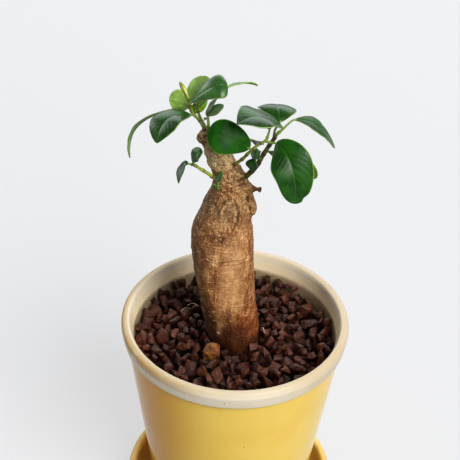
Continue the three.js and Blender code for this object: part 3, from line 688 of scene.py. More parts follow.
def addTrunk():
    noise.seed_set(trunk["seed"])
    sides, soilHeight, cracks = trunk["sides"], trunk["root"]["soil"], crackLines()
    rows, hollows = [], []
    for x, radius, height in trunkStations():
        row = []
        above = smoothStep(soilHeight + 4, soilHeight + 20, height)
        for k in range(sides):
            angle = 2 * math.pi * k / sides
            outward = Vector((math.cos(angle), math.sin(angle), 0))
            lobes = math.sin(3 * angle + height / 19) + 0.7 * math.sin(5 * angle - height / 11 + 2)
            lobed = radius * (1 + trunk["lobeDepth"] * above * lobes * abs(math.sin(angle)))
            point = Vector((x, above * lean(height), height)) + outward * lobed
            for at, reach, rise in trunk["swellings"]:
                point += outward * rise * hump((point - Vector(at)).length, reach)
            relief = barkRelief(point, angle, cracks)
            dip = sum(depth * hump((point - Vector(at)).length, reach) for at, reach, depth in trunk["pits"])
            row.append(point + outward * (relief - dip))
            hollows.append(min(1.0, max(0.0, 0.5 - relief * 0.9 + dip * 0.9)))
        rows.append(row)
    shape = Shape()
    shape.add(rows, around=True, capped=True, hollow=hollows)
    addStub(shape)
    addPiece("trunkBark", shape, [bark()], "bark", "trunk")


def bark():
    f = Finish("flakyGoldenBark")
    tones, hollow = barkTones, f.mark("hollow")
    across, height = f.where()[:2]

    def level(low, high):  # rises from 0 to 1 between two heights
        return f.step(height, low, high)

    grain = f.mottle(0.6, 4, 0.7)
    flakes = f.mottle(1.8, 4, 0.65, swirl=0.8)
    blotch = f.mottle(6, 3, 0.6)
    dashes = f.mottle(1.0, 3, 0.6, squeeze=(0.28, 0.28, 1.15))
    fibres = f.mottle(0.8, 3, 0.6, squeeze=(1.0, 1.0, 0.16))
    streaks = f.mottle(2.6, 3, 0.55, squeeze=(1.0, 1.0, 0.14))
    ticks = f.mottle(0.9, 3, 0.6, squeeze=(0.22, 0.22, 1.5))
    upper = level(184, 212)
    tone = grain * (upper * 0.10 + 0.30) + blotch * 0.12 + dashes * 0.10 + fibres * (0.20 - upper * 0.14)
    tone = tone + streaks * (0.20 - upper * 0.16) + flakes * (upper * 0.26 + 0.08)
    smooth = f.line(across + 1.5 + streaks * 3, 9, 2) * level(142, 156) * level(198, 186)
    furrow = f.line(across + 2.6 + blotch * 1.5, 2.6, 0.8) * level(152, 144) * 0.42
    pale = f.line(across + 7.6 + blotch * 1.2, 2.2, 0.6) * level(152, 144)
    shaded = f.step(across + blotch * 5, -8, -18) * level(216, 206) * 0.56
    shaded = shaded + f.step(across + blotch * 5, -3, -12) * level(200, 208) * level(226, 216) * 0.5
    shaded = shaded + f.near((-1.2, -6, 226), 8.5, 0.75) * 0.75 + f.near((3.2, -3, 221), 6.5, 0.75) * 0.4
    dash = f.step(dashes, 0.60, 0.66) * f.step(blotch, 0.42, 0.55) * level(130, 142)
    tick = f.step(ticks, 0.585, 0.63) * f.step(f.mottle(5, 3), 0.46, 0.58) * level(192, 180) * level(130, 142)
    fleck = f.step(f.cells(1.4), 0.30, 0.16) * f.step(f.mottle(3.2, 3), 0.48, 0.58)
    pits = f.step(f.cells(1.9), 0.24, 0.12) * f.step(f.mottle(4.5, 3), 0.47, 0.56)
    scar = f.near((-4.6, -11.0, 206.0), 10, 0.8) * f.step(flakes, 0.42, 0.54)
    wide, tall = (across + 5.4) / 3.5, (height - 205.4) / 5.3
    ring = (wide * wide + tall * tall).maths("SQRT") + (flakes - 0.5) * 1.5
    arch = f.near((-5.4, -11.4, 206.4), 8.5, 0.4) * f.step(tall, -0.9, -0.3)
    rim = f.near((-0.9, -11.6, 201.0), 1.9, 0.7) * f.step(flakes, 0.42, 0.52)
    patch = f.near((-7.8, -14.2, 193.2), 7.0, 0.85) * f.step(f.mottle(1.3, 4, 0.7), 0.44, 0.54)
    chalk = f.near((-7.0, -13.6, 140.0), 6, 0.8) * f.step(f.mottle(1.4, 4, 0.7), 0.50, 0.60)
    white = f.near((-8.6, -12.6, 131.5), 1.4, 0.5) * f.step(f.mottle(0.8, 3), 0.42, 0.52)
    stub = f.step(across, 4.6, 6.4) * level(213.6, 215) * level(220.5, 219)
    colour = f.layered(
        f.ramp(tone, *tones["brown"]),
        (f.step(height + blotch * 14, 229, 243), f.ramp(tone, *tones["ash"])),
        # Painted sheen: a lighter band down the front of the belly
        (smooth * 0.34, tones["smooth"]),
        # Rusty skin low on the right; painted shade darkens the foot towards the gravel and to the left, and
        # the furrow colour darkens the last millimetres above the gravel; a furrow and a pale ridge
        (f.step(height + blotch * 12 - across, 157, 139) * 0.85, f.ramp(tone, *tones["rusty"])),
        (f.step(height + blotch * 8 + across * 0.9, 148, 134) * 0.82, tones["foot"]),
        (furrow + f.step(height + blotch * 4, 130, 125) * 0.34, tones["furrow"]),
        (pale * level(127, 134) * 0.34, tones["ridge"]),
        (shaded, tones["shaded"]),
        (f.step(height + blotch * 10, 200, 212) * level(234, 226) * 0.3, tones["neck"]),
        # Pale dashes and flecks, dark pits
        (dash * 0.7, tones["dash"]),
        (tick * 0.6, tones["tick"]),
        (fleck * f.step(height, 170, 222, 0.14, 0.7), tones["fleck"]),
        (pits * f.step(height, 172, 200, 0.25, 0.75), tones["pit"]),
        # Grey wrinkled scar with a dark and a pale ring, and the dark rough patch under it
        (scar * 0.62, tones["scar"]),
        (arch * f.line(ring - 1.5, 0.34, 0.08) * 0.55, tones["darkRing"]),
        (arch * f.line(ring - 0.95, 0.26, 0.06) * 0.45, tones["paleRing"]),
        (rim * 0.7, tones["scarRim"]),
        (patch * 0.8, tones["patch"]),
        # Chalky streak and a white fleck near the foot
        (chalk * 0.5, tones["chalk"]),
        (white * 0.9, tones["white"]),
        # Painted shade darkens the cavities; raised ridges are laid lighter
        (f.step(hollow, 0.64, 1.0) * 0.75, tones["cavityShade"]),
        (f.step(hollow, 0.40, 0.14) * level(128, 140) * 0.4, tones["worn"]),
        (f.near((-19.6, -2.6, 243.4), 4.4, 0.7) * 0.65, f.ramp(flakes, *tones["knob"])),
        (stub * 0.7, f.ramp(flakes, *tones["stub"])),
    )
    normal = f.bump(f.mottle(0.35, 3, 0.6), 0.12, f.bump(dashes, 0.22, f.bump(tone, 1.6)))
    return f.done(colour, grain * 0.3 + 0.45, normal, trunk["specular"])


addTrunk()
print("trunk is made")


# Twigs, with a ring at each old leaf's place

twigs = {
    "twigCrownLeft": {
        "radii": (1.0, 0.56), "finish": "olive", "rings": (0.22, 0.42, 0.62, 0.84),
        "line": [(-17.3, -0.6, 243.5), (-17.9, -0.8, 247.2), (-20.4, 0.3, 251.6), (-23.9, 0.6, 255.6),
                 (-25.2, 0.8, 259.8), (-26.2, 1.2, 262.6)],
    },
    "twigCrownMiddle": {
        "radii": (0.9, 0.56), "finish": "olive", "rings": (0.24, 0.5, 0.8),
        "line": [(-16.6, 2.4, 243), (-17.3, 2.6, 245.9), (-20.0, 3.8, 250.4), (-21.7, 5.2, 254.0),
                 (-22.6, 6.4, 256.4)],
    },
    "twigRightUpper": {
        "radii": (0.95, 0.64), "finish": "olive", "rings": (0.16, 0.38, 0.55, 0.7, 0.86),
        "line": [(-6.5, -1.5, 226.5), (-3.5, -2.6, 229.8), (0.5, -5, 234.9), (2.9, -7, 239.3),
                 (5.6, -7.5, 242.6), (8.3, -6.6, 244.7), (10.6, -6, 246), (11.5, -5.5, 247.2)],
    },
    "twigRightLower": {
        "radii": (1.55, 0.9), "finish": "dark", "rings": (0.12, 0.3, 0.47, 0.64, 0.8, 0.93),
        "line": [(-1.5, -0.8, 218.6), (2.2, -1, 222.1), (4.7, -2, 225.7), (7.2, -2.5, 229.5), (9.5, -3, 235),
                 (11.4, -3, 239.1), (13.5, -3, 243.1), (15.1, -3, 246.1), (15.9, -3, 248)],
    },
    "twigLeft": {
        "radii": (1.1, 0.7), "finish": "lime", "rings": (0.3, 0.62, 0.9),
        "line": [(-10, -3, 221), (-12.9, -4.8, 223.2), (-16, -6.4, 226.8), (-19.2, -8, 230),
                 (-21.6, -9.5, 232.7), (-23.3, -10, 233.7)],
    },
}
twigTones = {  # young green, and the brown of the old end
    "dark": ((78, 88, 30), (62, 50, 24)),
    "olive": ((116, 132, 44), (88, 72, 36)),
    "lime": ((150, 168, 66), (122, 84, 48)),
}
twigSkin = {"fleck": (196, 186, 126), "specular": 0.45, "sides": 18, "points": 72}


def twigFinish(name, green, brown):
    f = Finish(name)
    spots = f.mottle(1.3, 4, 0.6)
    fleck = f.step(f.cells(1.1), 0.22, 0.1) * f.step(f.mottle(1.9, 2), 0.5, 0.6)
    colour = f.layered(
        green,
        (f.step(spots, 0.4, 0.62) * 0.4, shade(green, 0.7)),
        (f.step(f.mark("age") + spots * 0.5 - 0.25, 0.35, 0.75), brown),
        (fleck * 0.5, twigSkin["fleck"]),
    )
    normal = f.bump(f.mottle(0.5, 3), 0.06, f.bump(spots, 0.16))
    return f.done(colour, spots * 0.2 + 0.34, normal, twigSkin["specular"])


def addTwigs():
    finishes = {name: twigFinish(name + "Twig", *tones) for name, tones in twigTones.items()}
    for name, twig in twigs.items():
        line = evenly(twig["line"], twigSkin["points"])
        radii, ages = [], []
        for i in range(len(line)):
            t = i / (len(line) - 1)
            ring = max(hump(t - at, 0.016) for at in twig["rings"])
            swell = max(hump(t - at, 0.045) for at in twig["rings"])
            blunt = math.sqrt(max(0.05, 1 - max(0, (t - 0.975) / 0.025) ** 2))
            radii.append((between(*twig["radii"], t) * 0.93 + 0.10 * swell + 0.12 * ring) * blunt)
            ages.append(min(1, 0.9 * ring + 0.45 * swell + 0.9 * smoothStep(0.34, 0.05, t)))
        shape = Shape()
        addTube(shape, line, radii, twigSkin["sides"], age=ages)
        addPiece(name, shape, [finishes[twig["finish"]]], "green_twig", solidOf(name))


addTwigs()
print("twigs are made")


# Leaves: a thin blade on a bent midrib, and its petiole

leaf = {
    "rows": 54, "strips": 26, "smallWidth": 7, "smallRows": 24, "smallStrips": 12, "thick": 0.56, "edge": 0.3,
    "petiole": 0.62, "points": 30, "keel": 0.5, "groove": 0.1, "pairs": 9, "slant": 2.1, "pucker": 0.006,
    "frill": 0.10, "frills": 5.3, "stalk": (108, 132, 54), "underRoughness": 0.52,
}
leafTones = {  # upper side, its lighter mottling, vein, painted rim light along the edge, under side
    "deep": ((18, 54, 7), (32, 80, 14), (74, 118, 44), (150, 176, 84), (104, 140, 74)),
    "fresh": ((19, 60, 8), (32, 82, 14), (90, 144, 50), (150, 182, 84), (106, 136, 62)),
    # light is partly painted light: a paler green lightened to make up for the shade of the leaves above
    "light": ((84, 138, 40), (112, 164, 52), (150, 190, 90), (164, 192, 100), (148, 184, 88)),
    "olive": ((78, 100, 30), (106, 124, 44), (142, 150, 80), (158, 166, 88), (116, 134, 64)),
    "jade": ((20, 67, 8), (32, 88, 14), (62, 118, 34), (150, 182, 84), (118, 154, 72)),
    # lime is partly painted light: the young leaf's lime is lightened to make up for the shade on it
    "lime": ((122, 170, 26), (148, 196, 40), (160, 196, 70), (176, 204, 84), (128, 168, 50)),
    "dark": ((18, 52, 16), (30, 74, 24), (66, 104, 52), (96, 130, 62), (70, 100, 52)),
    # moss is a lightened green that paints the sheen of the leaves it colours
    "moss": ((40, 82, 26), (56, 106, 38), (78, 122, 48), (150, 176, 84), (104, 140, 74)),
    # grey is a lightened grey-green that paints sheen on the small shoot
    "grey": ((66, 92, 50), (84, 108, 66), (110, 130, 90), (126, 146, 92), (96, 116, 84)),
}
leafGloss = {  # roughness and specular level of the upper side, for the leaves with a node each
    "deep": (0.24, 0.42), "fresh": (0.28, 0.32), "jade": (0.40, 0.15), "moss": (0.3, 0.62),
    "usual": (0.26, 0.5),
}
# The stalk starts on its twig. The blade's points are its base, a place halfway along it and its tip.
leaves = {
    "leafCrownFarLeft": {
        "stalk": [(-23.9, 0.6, 255.6)],
        "blade": [(-26.2, 2, 257.8), (-49.5, 11, 242.6), (-55.2, 13, 221.2)], "across": (0.05, 0.86, -0.5),
        "width": 13, "tone": "deep",
    },
    "leafCrownLeft": {
        "stalk": [(-22.2, 0.5, 253.9)],
        "blade": [(-24.3, -1.6, 255.9), (-34.8, -9.4, 257.6), (-39.4, -17, 249.2)],
        "face": (-0.35, -0.25, 0.9), "width": 16, "wave": 0.5, "widest": 0.56, "fullness": 0.58,
        "tipFullness": 0.7, "tone": "deep",
    },
    "leafCrownBackLeft": {
        "stalk": [(-25, 0.8, 259)], "blade": [(-25.6, 4, 257.8), (-30.4, 6.6, 258), (-35.4, 9, 257.4)],
        "face": (-0.2, 0.9, -0.3), "width": 11.4, "widest": 0.52, "fullness": 0.48, "tone": "light",
    },
    "leafCrownBack": {
        "stalk": [(-25.9, 1, 261.6)], "blade": [(-25.4, 4, 260.2), (-21.5, 7.2, 265), (-17.1, 10, 269.7)],
        "face": (-0.2, 0.85, -0.35), "width": 10.2, "widest": 0.5, "fullness": 0.55, "tone": "fresh",
    },
    "leafCrownTop": {
        "stalk": [(-25.2, 0.8, 259.8)],
        "blade": [(-25.4, -2.2, 262), (-15.7, -5.6, 272.6), (-8, -4.1, 273.7)], "face": (-0.1, -0.5, 0.8),
        "width": 12.8, "widest": 0.77, "fullness": 0.32, "tipFullness": 0.2, "curl": -0.3, "tone": "moss",
    },
    "leafCrownBackRight": {
        "stalk": [(-22.2, 5.9, 255.2), (-17.5, 8, 259)],
        "blade": [(-12, 9, 262.4), (-2.4, 15, 264.4), (6.2, 20, 260.6)], "face": (0, 0.52, 0.85),
        "width": 8, "tone": "light",
    },
    "leafCrownBackLow": {
        "stalk": [(-22.6, 6.4, 256.4)],
        "blade": [(-22.8, 8.6, 257), (-21.6, 10.4, 253.8), (-19.8, 12, 250)], "face": (-0.2, -0.6, 0.7),
        "width": 10, "fullness": 0.6, "tone": "lime",
    },
    "leafFrontRound": {
        "stalk": [(4.3, -7.3, 241.2)],
        "blade": [(3.4, -9.4, 243.6), (-6.6, -12, 250.4), (-16.2, -10.6, 250.8)],
        "face": (-0.5, -0.83, 0.8), "width": 16.6, "fold": 0.05, "curl": -0.16, "widest": 0.62,
        "fullness": 0.32, "tipFullness": 0.4, "tone": "jade",
    },
    "leafRightSpread": {
        "stalk": [(15.4, -3, 247), (16.2, -5, 249.6)],
        "blade": [(18.5, -4.6, 252.7), (8, -9, 260.8), (-3.1, -19.4, 262.2)], "face": (0.3, 0.1, 1),
        "width": 19.8, "wave": 0.8, "widest": 0.52, "fullness": 0.76, "tipFullness": 1.1, "tone": "deep",
    },
    "leafRightBack": {
        "stalk": [(14.9, -3, 245.8), (15, -0.6, 248.6)],
        "blade": [(17.4, 1, 252.4), (16, 12, 254.8), (14, 23.4, 245.8)], "face": (0.1, 0, 1), "width": 19,
        "curl": -0.3, "widest": 0.52, "fullness": 0.62, "tone": "deep",
    },
    "leafRightArching": {
        "stalk": [(15.9, -3, 247.9), (18.9, -1.4, 250.2), (22.3, 0.9, 252.8)],
        "blade": [(24, 1.6, 253.6), (35.8, 6, 247.6), (44.8, 10, 233.4)], "face": (0.42, -0.16, 0.85),
        "width": 10, "tone": "fresh",
    },
    "leafRightHanging": {
        "stalk": [(10.6, -6, 246), (13.2, -5.6, 244.9)],
        "blade": [(15.6, -7, 245.4), (23, -16.6, 240), (26.2, -22, 222)], "face": (0.1, -0.9, 0.4),
        "width": 20.2, "wave": 0.6, "widest": 0.56, "fullness": 0.48, "tipFullness": 0.44, "tone": "fresh",
        "dents": [(0.95, -1, 0.25, 0.03), (0.74, 1, 0.1, 0.17)],
    },
    "leafRightOlive": {
        "stalk": [(10.6, -3, 237.4)], "blade": [(12.6, -0.6, 236.8), (25.2, 5, 228.5), (36.6, 10, 215.3)],
        "face": (0.2, 0.8, 0.5), "width": 15, "fullness": 0.6, "tone": "olive",
    },
    "leafRightHidden": {
        "stalk": [(11.4, -5.6, 247)], "blade": [(12.4, -2.6, 250), (11, 4, 251), (8, 11, 247.4)],
        "face": (0, 0, 1), "width": 9, "tone": "light",
    },
    "leafInnerBack": {
        "stalk": [(5.6, -7.5, 242.6)], "blade": [(6.4, -4, 242), (6.6, 2, 240.6), (4.8, 8, 236.4)],
        "face": (0.3, 0.1, 1), "width": 8, "tone": "dark",
    },
    "leafInnerUpper": {
        "stalk": [(9.2, -3, 234.4)], "blade": [(8.2, -5.2, 235.6), (6.8, -5.6, 238), (6.8, -4.6, 240.8)],
        "face": (0.5, -0.7, 0.3), "width": 6, "tone": "dark",
    },
    "leafInnerLower": {
        "stalk": [(5.6, -2.2, 227)], "blade": [(4.4, -4.4, 228.4), (4.8, -5.4, 231.4), (6.2, -4.4, 235.2)],
        "face": (-0.3, -0.8, 0.3), "width": 6.4, "fullness": 0.9, "tone": "deep",
    },
    "leafLeftUpper": {
        "stalk": [(-21.8, -9.6, 232.8)],
        "blade": [(-22.9, -11.2, 235.4), (-21.6, -12, 240.4), (-18.3, -13, 242.8)],
        "face": (-0.5, -0.5, 0.6), "width": 7.2, "fullness": 0.6, "tone": "deep",
    },
    "leafLeftHanging": {
        "stalk": [(-23.2, -10, 233.6)],
        "blade": [(-25, -10.6, 234.4), (-28, -12, 233.6), (-29.2, -18, 228.1)], "face": (-0.8, -0.3, 0.5),
        "width": 6.4, "tone": "dark",
    },
}


def leafFinish(name, tones, roughness, facing, specular=0.5, pebble=0.012):  # facing is -1 for an under side
    f = Finish(name)
    base, lighter, vein, rimLight = tones
    along, across = f.mark("along"), f.mark("across")
    side = across.maths("ABSOLUTE")
    cloud = f.mottle(7, 3)
    # Side veins leave the midrib and bend towards the tip
    phase = along * leaf["pairs"] - side * leaf["slant"] - side * side * 0.9
    crest = (phase * (2 * math.pi)).maths("COSINE")
    field = f.step(side, 0.03, 0.10) * f.step(side, 0.97, 0.85)
    veins = f.step(crest, 0.90, 0.995) * field
    midrib = f.step(side, 0.055, 0.015) * f.step(along, 1.02, 0.8)
    colour = f.layered(
        base,
        (f.step(cloud, 0.38, 0.66), lighter),
        (f.step(f.mottle(0.8, 3, 0.6), 0.45, 0.62) * 0.22, shade(base, 0.75)),
        (veins * 0.08, vein),
        (midrib * 0.2, vein),
        # Painted rim light: a pale line along the blade's edge
        (f.step(side, 0.925, 0.985) * 0.55, rimLight),
        (f.mark("stalk"), leaf["stalk"]),
    )
    normal = f.bump(veins * -1 + midrib * -1.4, 0.025 * facing, f.bump(crest * field, -0.010 * facing))
    normal = f.bump(f.mottle(0.55, 3), pebble, normal)
    return f.done(colour, cloud * 0.12 + roughness, normal, specular)


def dented(at, u, v):  # the share of its reach that a blade loses at a dent in its edge
    return sum(deep * hump(u - where, reach)
               for where, edge, deep, reach in at.get("dents", ()) if edge * v > 0)


def bladeGrid(at):  # upper and under side of a blade, with the marks that its finish reads
    base, middle, tip = (Vector(point) for point in at["blade"])
    control = middle * 2 - (base + tip) / 2
    fold, curl, wave = at.get("fold", 0.12), at.get("curl", -0.12), at.get("wave", 0.3)
    skew = math.log(0.5) / math.log(at.get("widest", 0.55))
    width = at["width"]
    fullness = at.get("fullness", 0.72)
    tipFullness = at.get("tipFullness", fullness)
    rowCount, strips = leaf["rows"], leaf["strips"]
    if width < leaf["smallWidth"]:
        rowCount, strips = leaf["smallRows"], leaf["smallStrips"]
    scale = min(1.0, width / 12)
    upper, under, along, across = [], [], [], []
    for i in range(rowCount + 1):
        u = (1 - math.cos(math.pi * i / rowCount)) / 2
        centre = between(between(base, control, u), between(control, tip, u), u)
        tangent = between(control - base, tip - control, u).normalized()
        facing = Vector(at["across"]).cross(tangent) if "across" in at else Vector(at["face"])
        normal = (facing - tangent * facing.dot(tangent)).normalized()
        side = tangent.cross(normal)
        half = width / 2 * max(0.035, math.sin(math.pi * u ** skew) ** between(fullness, tipFullness, u))
        upperRow, underRow = [], []
        for j in range(strips + 1):
            t = 2 * j / strips - 1
            v = t * (0.55 + 0.45 * t * t)
            reach = half * v / math.hypot(1, fold) * (1 - dented(at, u, v) * v * v)
            ripple = wave * v * math.sin(2 * math.pi * 1.5 * u + 1) * math.sin(math.pi * u)
            turn = 2 * math.pi * leaf["frills"] * u + 2.2 * v + width
            frill = leaf["frill"] * scale * v ** 4 * math.sin(turn)
            rise = fold * abs(reach) + curl * half * v * v + ripple + frill * math.sin(math.pi * u)
            phase = leaf["pairs"] * u - abs(v) * leaf["slant"] - v * v * 0.9
            rise += leaf["pucker"] * scale * math.cos(2 * math.pi * phase) * abs(v) * (1 - v * v) * -2
            rib = hump(reach, 0.55) * (1 - u * 0.8) * scale
            thick = between(leaf["thick"], leaf["edge"], v * v)
            place = centre + side * reach
            upperRow.append(place + normal * (rise + thick / 2 - leaf["groove"] * rib))
            underRow.append(place + normal * (rise - thick / 2 - leaf["keel"] * rib))
            along.append(u)
            across.append(v)
        upper.append(upperRow)
        under.append(underRow)
    return upper, under, along, across


def addBlade(shape, at):  # finish 0 above and at the edge, finish 1 below
    upper, under, along, across = bladeGrid(at)
    start, count, wide = len(shape.vertices), len(upper), len(upper[0])
    shape.add(upper, finish=0, along=along, across=across)
    shape.add(under, finish=1, along=along, across=across)
    below = count * wide
    rim = [i * wide for i in range(count)] + [(count - 1) * wide + j for j in range(1, wide)]
    rim += [i * wide + wide - 1 for i in reversed(range(count - 1))] + list(reversed(range(1, wide - 1)))
    shape.addFaces([(start + a, start + b, start + below + b, start + below + a)
                    for a, b in zip(rim, [*rim[1:], rim[0]])])


def addLeaves():
    finishes = {}
    for tone, (*upper, rimLight, under) in leafTones.items():
        pale = [min(255, c * 1.16 + 6) for c in under]
        roughness, specular = leafGloss.get(tone, leafGloss["usual"])
        finishes[tone] = [
            leafFinish(tone + "LeafUpper", (*upper, rimLight), roughness, 1, specular),
            leafFinish(tone + "LeafUnder", (under, pale, pale, rimLight), leaf["underRoughness"], -1,
                       pebble=0.032),
        ]
    for name, at in leaves.items():
        shape = Shape()
        addBlade(shape, at)
        base, middle, tip = (Vector(point) for point in at["blade"])
        count = leaf["points"]
        line = evenly([*at["stalk"], base, between(base, middle, 0.16)], count)
        radii = [leaf["petiole"] * between(1.08, 0.62, i / (count - 1)) * (1 + 0.35 * hump(i - 3, 2.2))
                 for i in range(count)]
        radii[-1] *= 0.4
        addTube(shape, line, radii, sides=12, finish=1, stalk=[1.0] * count)
        addPiece(name, shape, finishes[at["tone"]], "leaf", solidOf(name))


addLeaves()
print("leaves are made")


# Bud and small leafy shoots

bud = {
    "rolledBud": {
        "line": [(-26, 1.1, 262), (-27.3, 1, 266.2), (-28.8, 0.8, 269.4), (-30, 0.4, 271.8)],
        "radii": (0.78, 0.6), "swell": 0.6, "tones": ((98, 124, 30), (172, 178, 64), (108, 116, 50)),
    },
    "budFlap": {
        "line": [(-26, 0.7, 263.4), (-26.7, 0, 266), (-27.8, -0.2, 268.6), (-28.4, -0.1, 270.2)],
        "radii": (0.5, 0.34), "swell": 0.16, "tones": ((166, 180, 84), (208, 214, 132), (186, 192, 104)),
    },
}
shoots = {
    "shootCrownSmall": {
        "radii": (0.75, 0.6), "tone": "grey",
        "stem": [(-16.4, -2.8, 245.6), (-16.2, -2.8, 249.4), (-16.3, -2.8, 253), (-16.6, -2.8, 256.2)],
        "blades": [
            {"blade": [(-16.9, -2.8, 256.2), (-13, -3.4, 260.2), (-9.4, -2.6, 262.4)],
             "face": (-0.5, -0.5, 0.7), "width": 5.2, "fullness": 0.6},
            {"blade": [(-17.2, -2.2, 256), (-15.8, -1.0, 260.4), (-12.2, 0.6, 264.4)],
             "face": (0.5, -0.6, -0.5), "width": 4.2},
            {"blade": [(-16.4, -2.8, 254.6), (-17.2, -4, 255.8), (-18.2, -5.2, 255.4)],
             "face": (-0.3, -0.3, 0.9), "width": 2.2},
        ],
    },
    "shootFront": {
        "radii": (0.8, 0.6), "tone": "moss",
        "stem": [(-9.6, -4.4, 217), (-10.8, -7.2, 219), (-10.9, -8, 223)],
        "blades": [
            {"blade": [(-10.9, -7.9, 222.6), (-10.4, -9, 226.6), (-8.9, -9, 230)],
             "face": (-0.4, -0.8, 0.4), "width": 3.4},
            {"blade": [(-10.8, -7.2, 219.4), (-12.2, -8.4, 220.8), (-13, -9, 222.6)],
             "face": (-0.4, -0.8, 0.4), "width": 1.8},
        ],
    },
}
shootRoughness = {"upper": 0.26, "under": 0.5}


def budFinish(name, low, middle, high):
    f = Finish(name)
    colour = f.ramp(f.mark("along"), (0, low), (0.6, middle), (1, high))
    return f.done(colour, 0.4, f.bump(f.mottle(0.6, 3), 0.06))


def addBud():
    shape = Shape()
    finishes = []
    for k, (name, roll) in enumerate(bud.items()):
        path = evenly(roll["line"], 40)
        along = [i / 39 for i in range(40)]
        radii = [between(*roll["radii"], t) + roll["swell"] * hump(t - 0.62, 0.26) for t in along]
        radii[-2:] = [radii[-3] * 0.75, radii[-3] * 0.3]
        addTube(shape, path, radii, sides=16, finish=k, along=along)
        finishes.append(budFinish(name, *roll["tones"]))
    addPiece("budCrownLeft", shape, finishes, "bud", "bud_crown_left")


def addShoots():
    for name, shoot in shoots.items():
        *upper, under = leafTones[shoot["tone"]]
        finishes = [leafFinish(name + "Upper", upper, shootRoughness["upper"], 1),
                    leafFinish(name + "Under", (under, *upper[1:]), shootRoughness["under"], -1)]
        shape = Shape()
        line = evenly(shoot["stem"], 30)
        radii = [between(*shoot["radii"], i / 29) for i in range(30)]
        addTube(shape, line, radii, sides=14, finish=1, stalk=[1.0] * 30)
        for blade in shoot["blades"]:
            addBlade(shape, blade)
        addPiece(name, shape, finishes, "young_leaf", solidOf(name))


addBud()
addShoots()
print("bud and shoots are made")


# Soil, stone and gravel

soil = {"dark": (30, 20, 14), "crumb": (62, 44, 30)}


def soilFinish():
    f = Finish("dampPottingSoil")
    crumbs = f.mottle(2.2, 5, 0.7)
    return f.done(f.ramp(crumbs, (0.35, soil["dark"]), (0.7, soil["crumb"])), 0.92, f.bump(crumbs, 1.2))


nodes["soil"].data.materials.clear()
nodes["soil"].data.materials.append(soilFinish())

gravel = {
    "seed": 17, "floor": 109.5, "smallest": 2.8, "largest": 6.2, "fewLarge": 1.9, "count": 2000, "tries": 40,
    "kinds": 22, "corners": (6, 7, 8, 9), "top": 124.2, "touching": 0.80, "atWall": 0.70, "rimGap": 0.2,
    "trunkAt": (0.2, 0.3), "trunkClear": 12.2, "bevel": 0.07, "specular": 0.35,
    "large": [(-8.1, -32.1, 5.4), (28.4, -21.6, 5.0)],
    "rust": (94, 49, 32), "plum": (46, 23, 15), "pale": (146, 98, 76), "pore": (36, 18, 14),
}
stone = {
    "at": (-11.9, -15.4, 121.2), "size": 6.2, "stretch": (0.88, 0.92, 1.2), "seed": 12, "corners": 11,
    "bevel": 0.07, "rugged": 0.55, "specular": 0.35,
    "tones": [(0.34, (56, 30, 14)), (0.48, (112, 68, 28)), (0.66, (160, 106, 50))],
}
straws = {
    "pale": (212, 196, 160), "dull": (160, 132, 92),
    "lines": [
        [(-26.4, 18.2, 123.8), (-23.6, 19.0, 124.9), (-20.4, 18.2, 124.2)],
        [(-29.6, 14.0, 123.0), (-27.2, 15.6, 124.4), (-24.6, 16.0, 123.6)],
        [(14.2, 3.6, 122.6), (15.0, 1.4, 124.6), (15.8, -0.6, 123.0)],
    ],
}


def crushedStone(seed, corners, stretch, bevel, segments):  # a convex lump of flat faces with worn edges
    draw = random.Random(seed)
    lump = bmesh.new()
    for k in range(corners):
        height = 1 - 2 * (k + 0.5) / corners
        turn = k * math.pi * (3 - math.sqrt(5)) + draw.uniform(-0.5, 0.5)
        flat = math.sqrt(1 - height * height)
        reach = draw.uniform(0.78, 1.06)
        corner = Vector((flat * math.cos(turn), flat * math.sin(turn), height)) * reach
        lump.verts.new(Vector(c * s for c, s in zip(corner, stretch)))
    hull = bmesh.ops.convex_hull(lump, input=lump.verts)
    loose = [spot for spot in hull["geom_interior"] if isinstance(spot, bmesh.types.BMVert)]
    bmesh.ops.delete(lump, geom=loose, context="VERTS")
    bmesh.ops.dissolve_limit(lump, angle_limit=0.30, verts=lump.verts, edges=lump.edges)
    bmesh.ops.bevel(lump, geom=lump.edges[:], offset=bevel, segments=segments, profile=0.6, affect="EDGES",
                    clamp_overlap=True)
    bmesh.ops.triangulate(lump, faces=[face for face in lump.faces if len(face.verts) > 4])
    bmesh.ops.recalc_face_normals(lump, faces=lump.faces)
    return lump


def grainPlaces():  # each grain drops to the lowest of a few places that it tries
    draw = random.Random(gravel["seed"])
    spots = np.array([(*stone["at"], stone["size"] * 0.9)])  # the stone has its place first
    for x, y, radius in gravel["large"]:
        spots = np.vstack([spots, (x, y, gravel["top"] - radius - 0.3, radius)])
    wall = innerRadius(gravel["top"] - 3) - gravel["rimGap"]
    for _ in range(gravel["count"]):
        radius = between(gravel["smallest"], gravel["largest"], draw.random() ** gravel["fewLarge"])
        best = None
        for _ in range(gravel["tries"]):
            turn, out = draw.uniform(0, 2 * math.pi), math.sqrt(draw.random())
            reach = wall - radius * gravel["atWall"]
            x, y = out * reach * math.cos(turn), out * reach * math.sin(turn)
            if math.dist((x, y), gravel["trunkAt"]) < gravel["trunkClear"] + radius * 0.72:
                continue
            flat = np.hypot(spots[:, 0] - x, spots[:, 1] - y)
            touch = (spots[:, 3] + radius) * gravel["touching"]
            over = flat < touch
            rest = gravel["floor"] + radius * 0.6
            if over.any():
                rest = max(rest, (spots[over, 2] + np.sqrt(touch[over] ** 2 - flat[over] ** 2)).max())
            if best is None or rest < best[2]:
                best = (x, y, rest, radius)
        if best and best[2] + radius * 0.75 < gravel["top"]:
            spots = np.vstack([spots, best])
    return spots[1:]


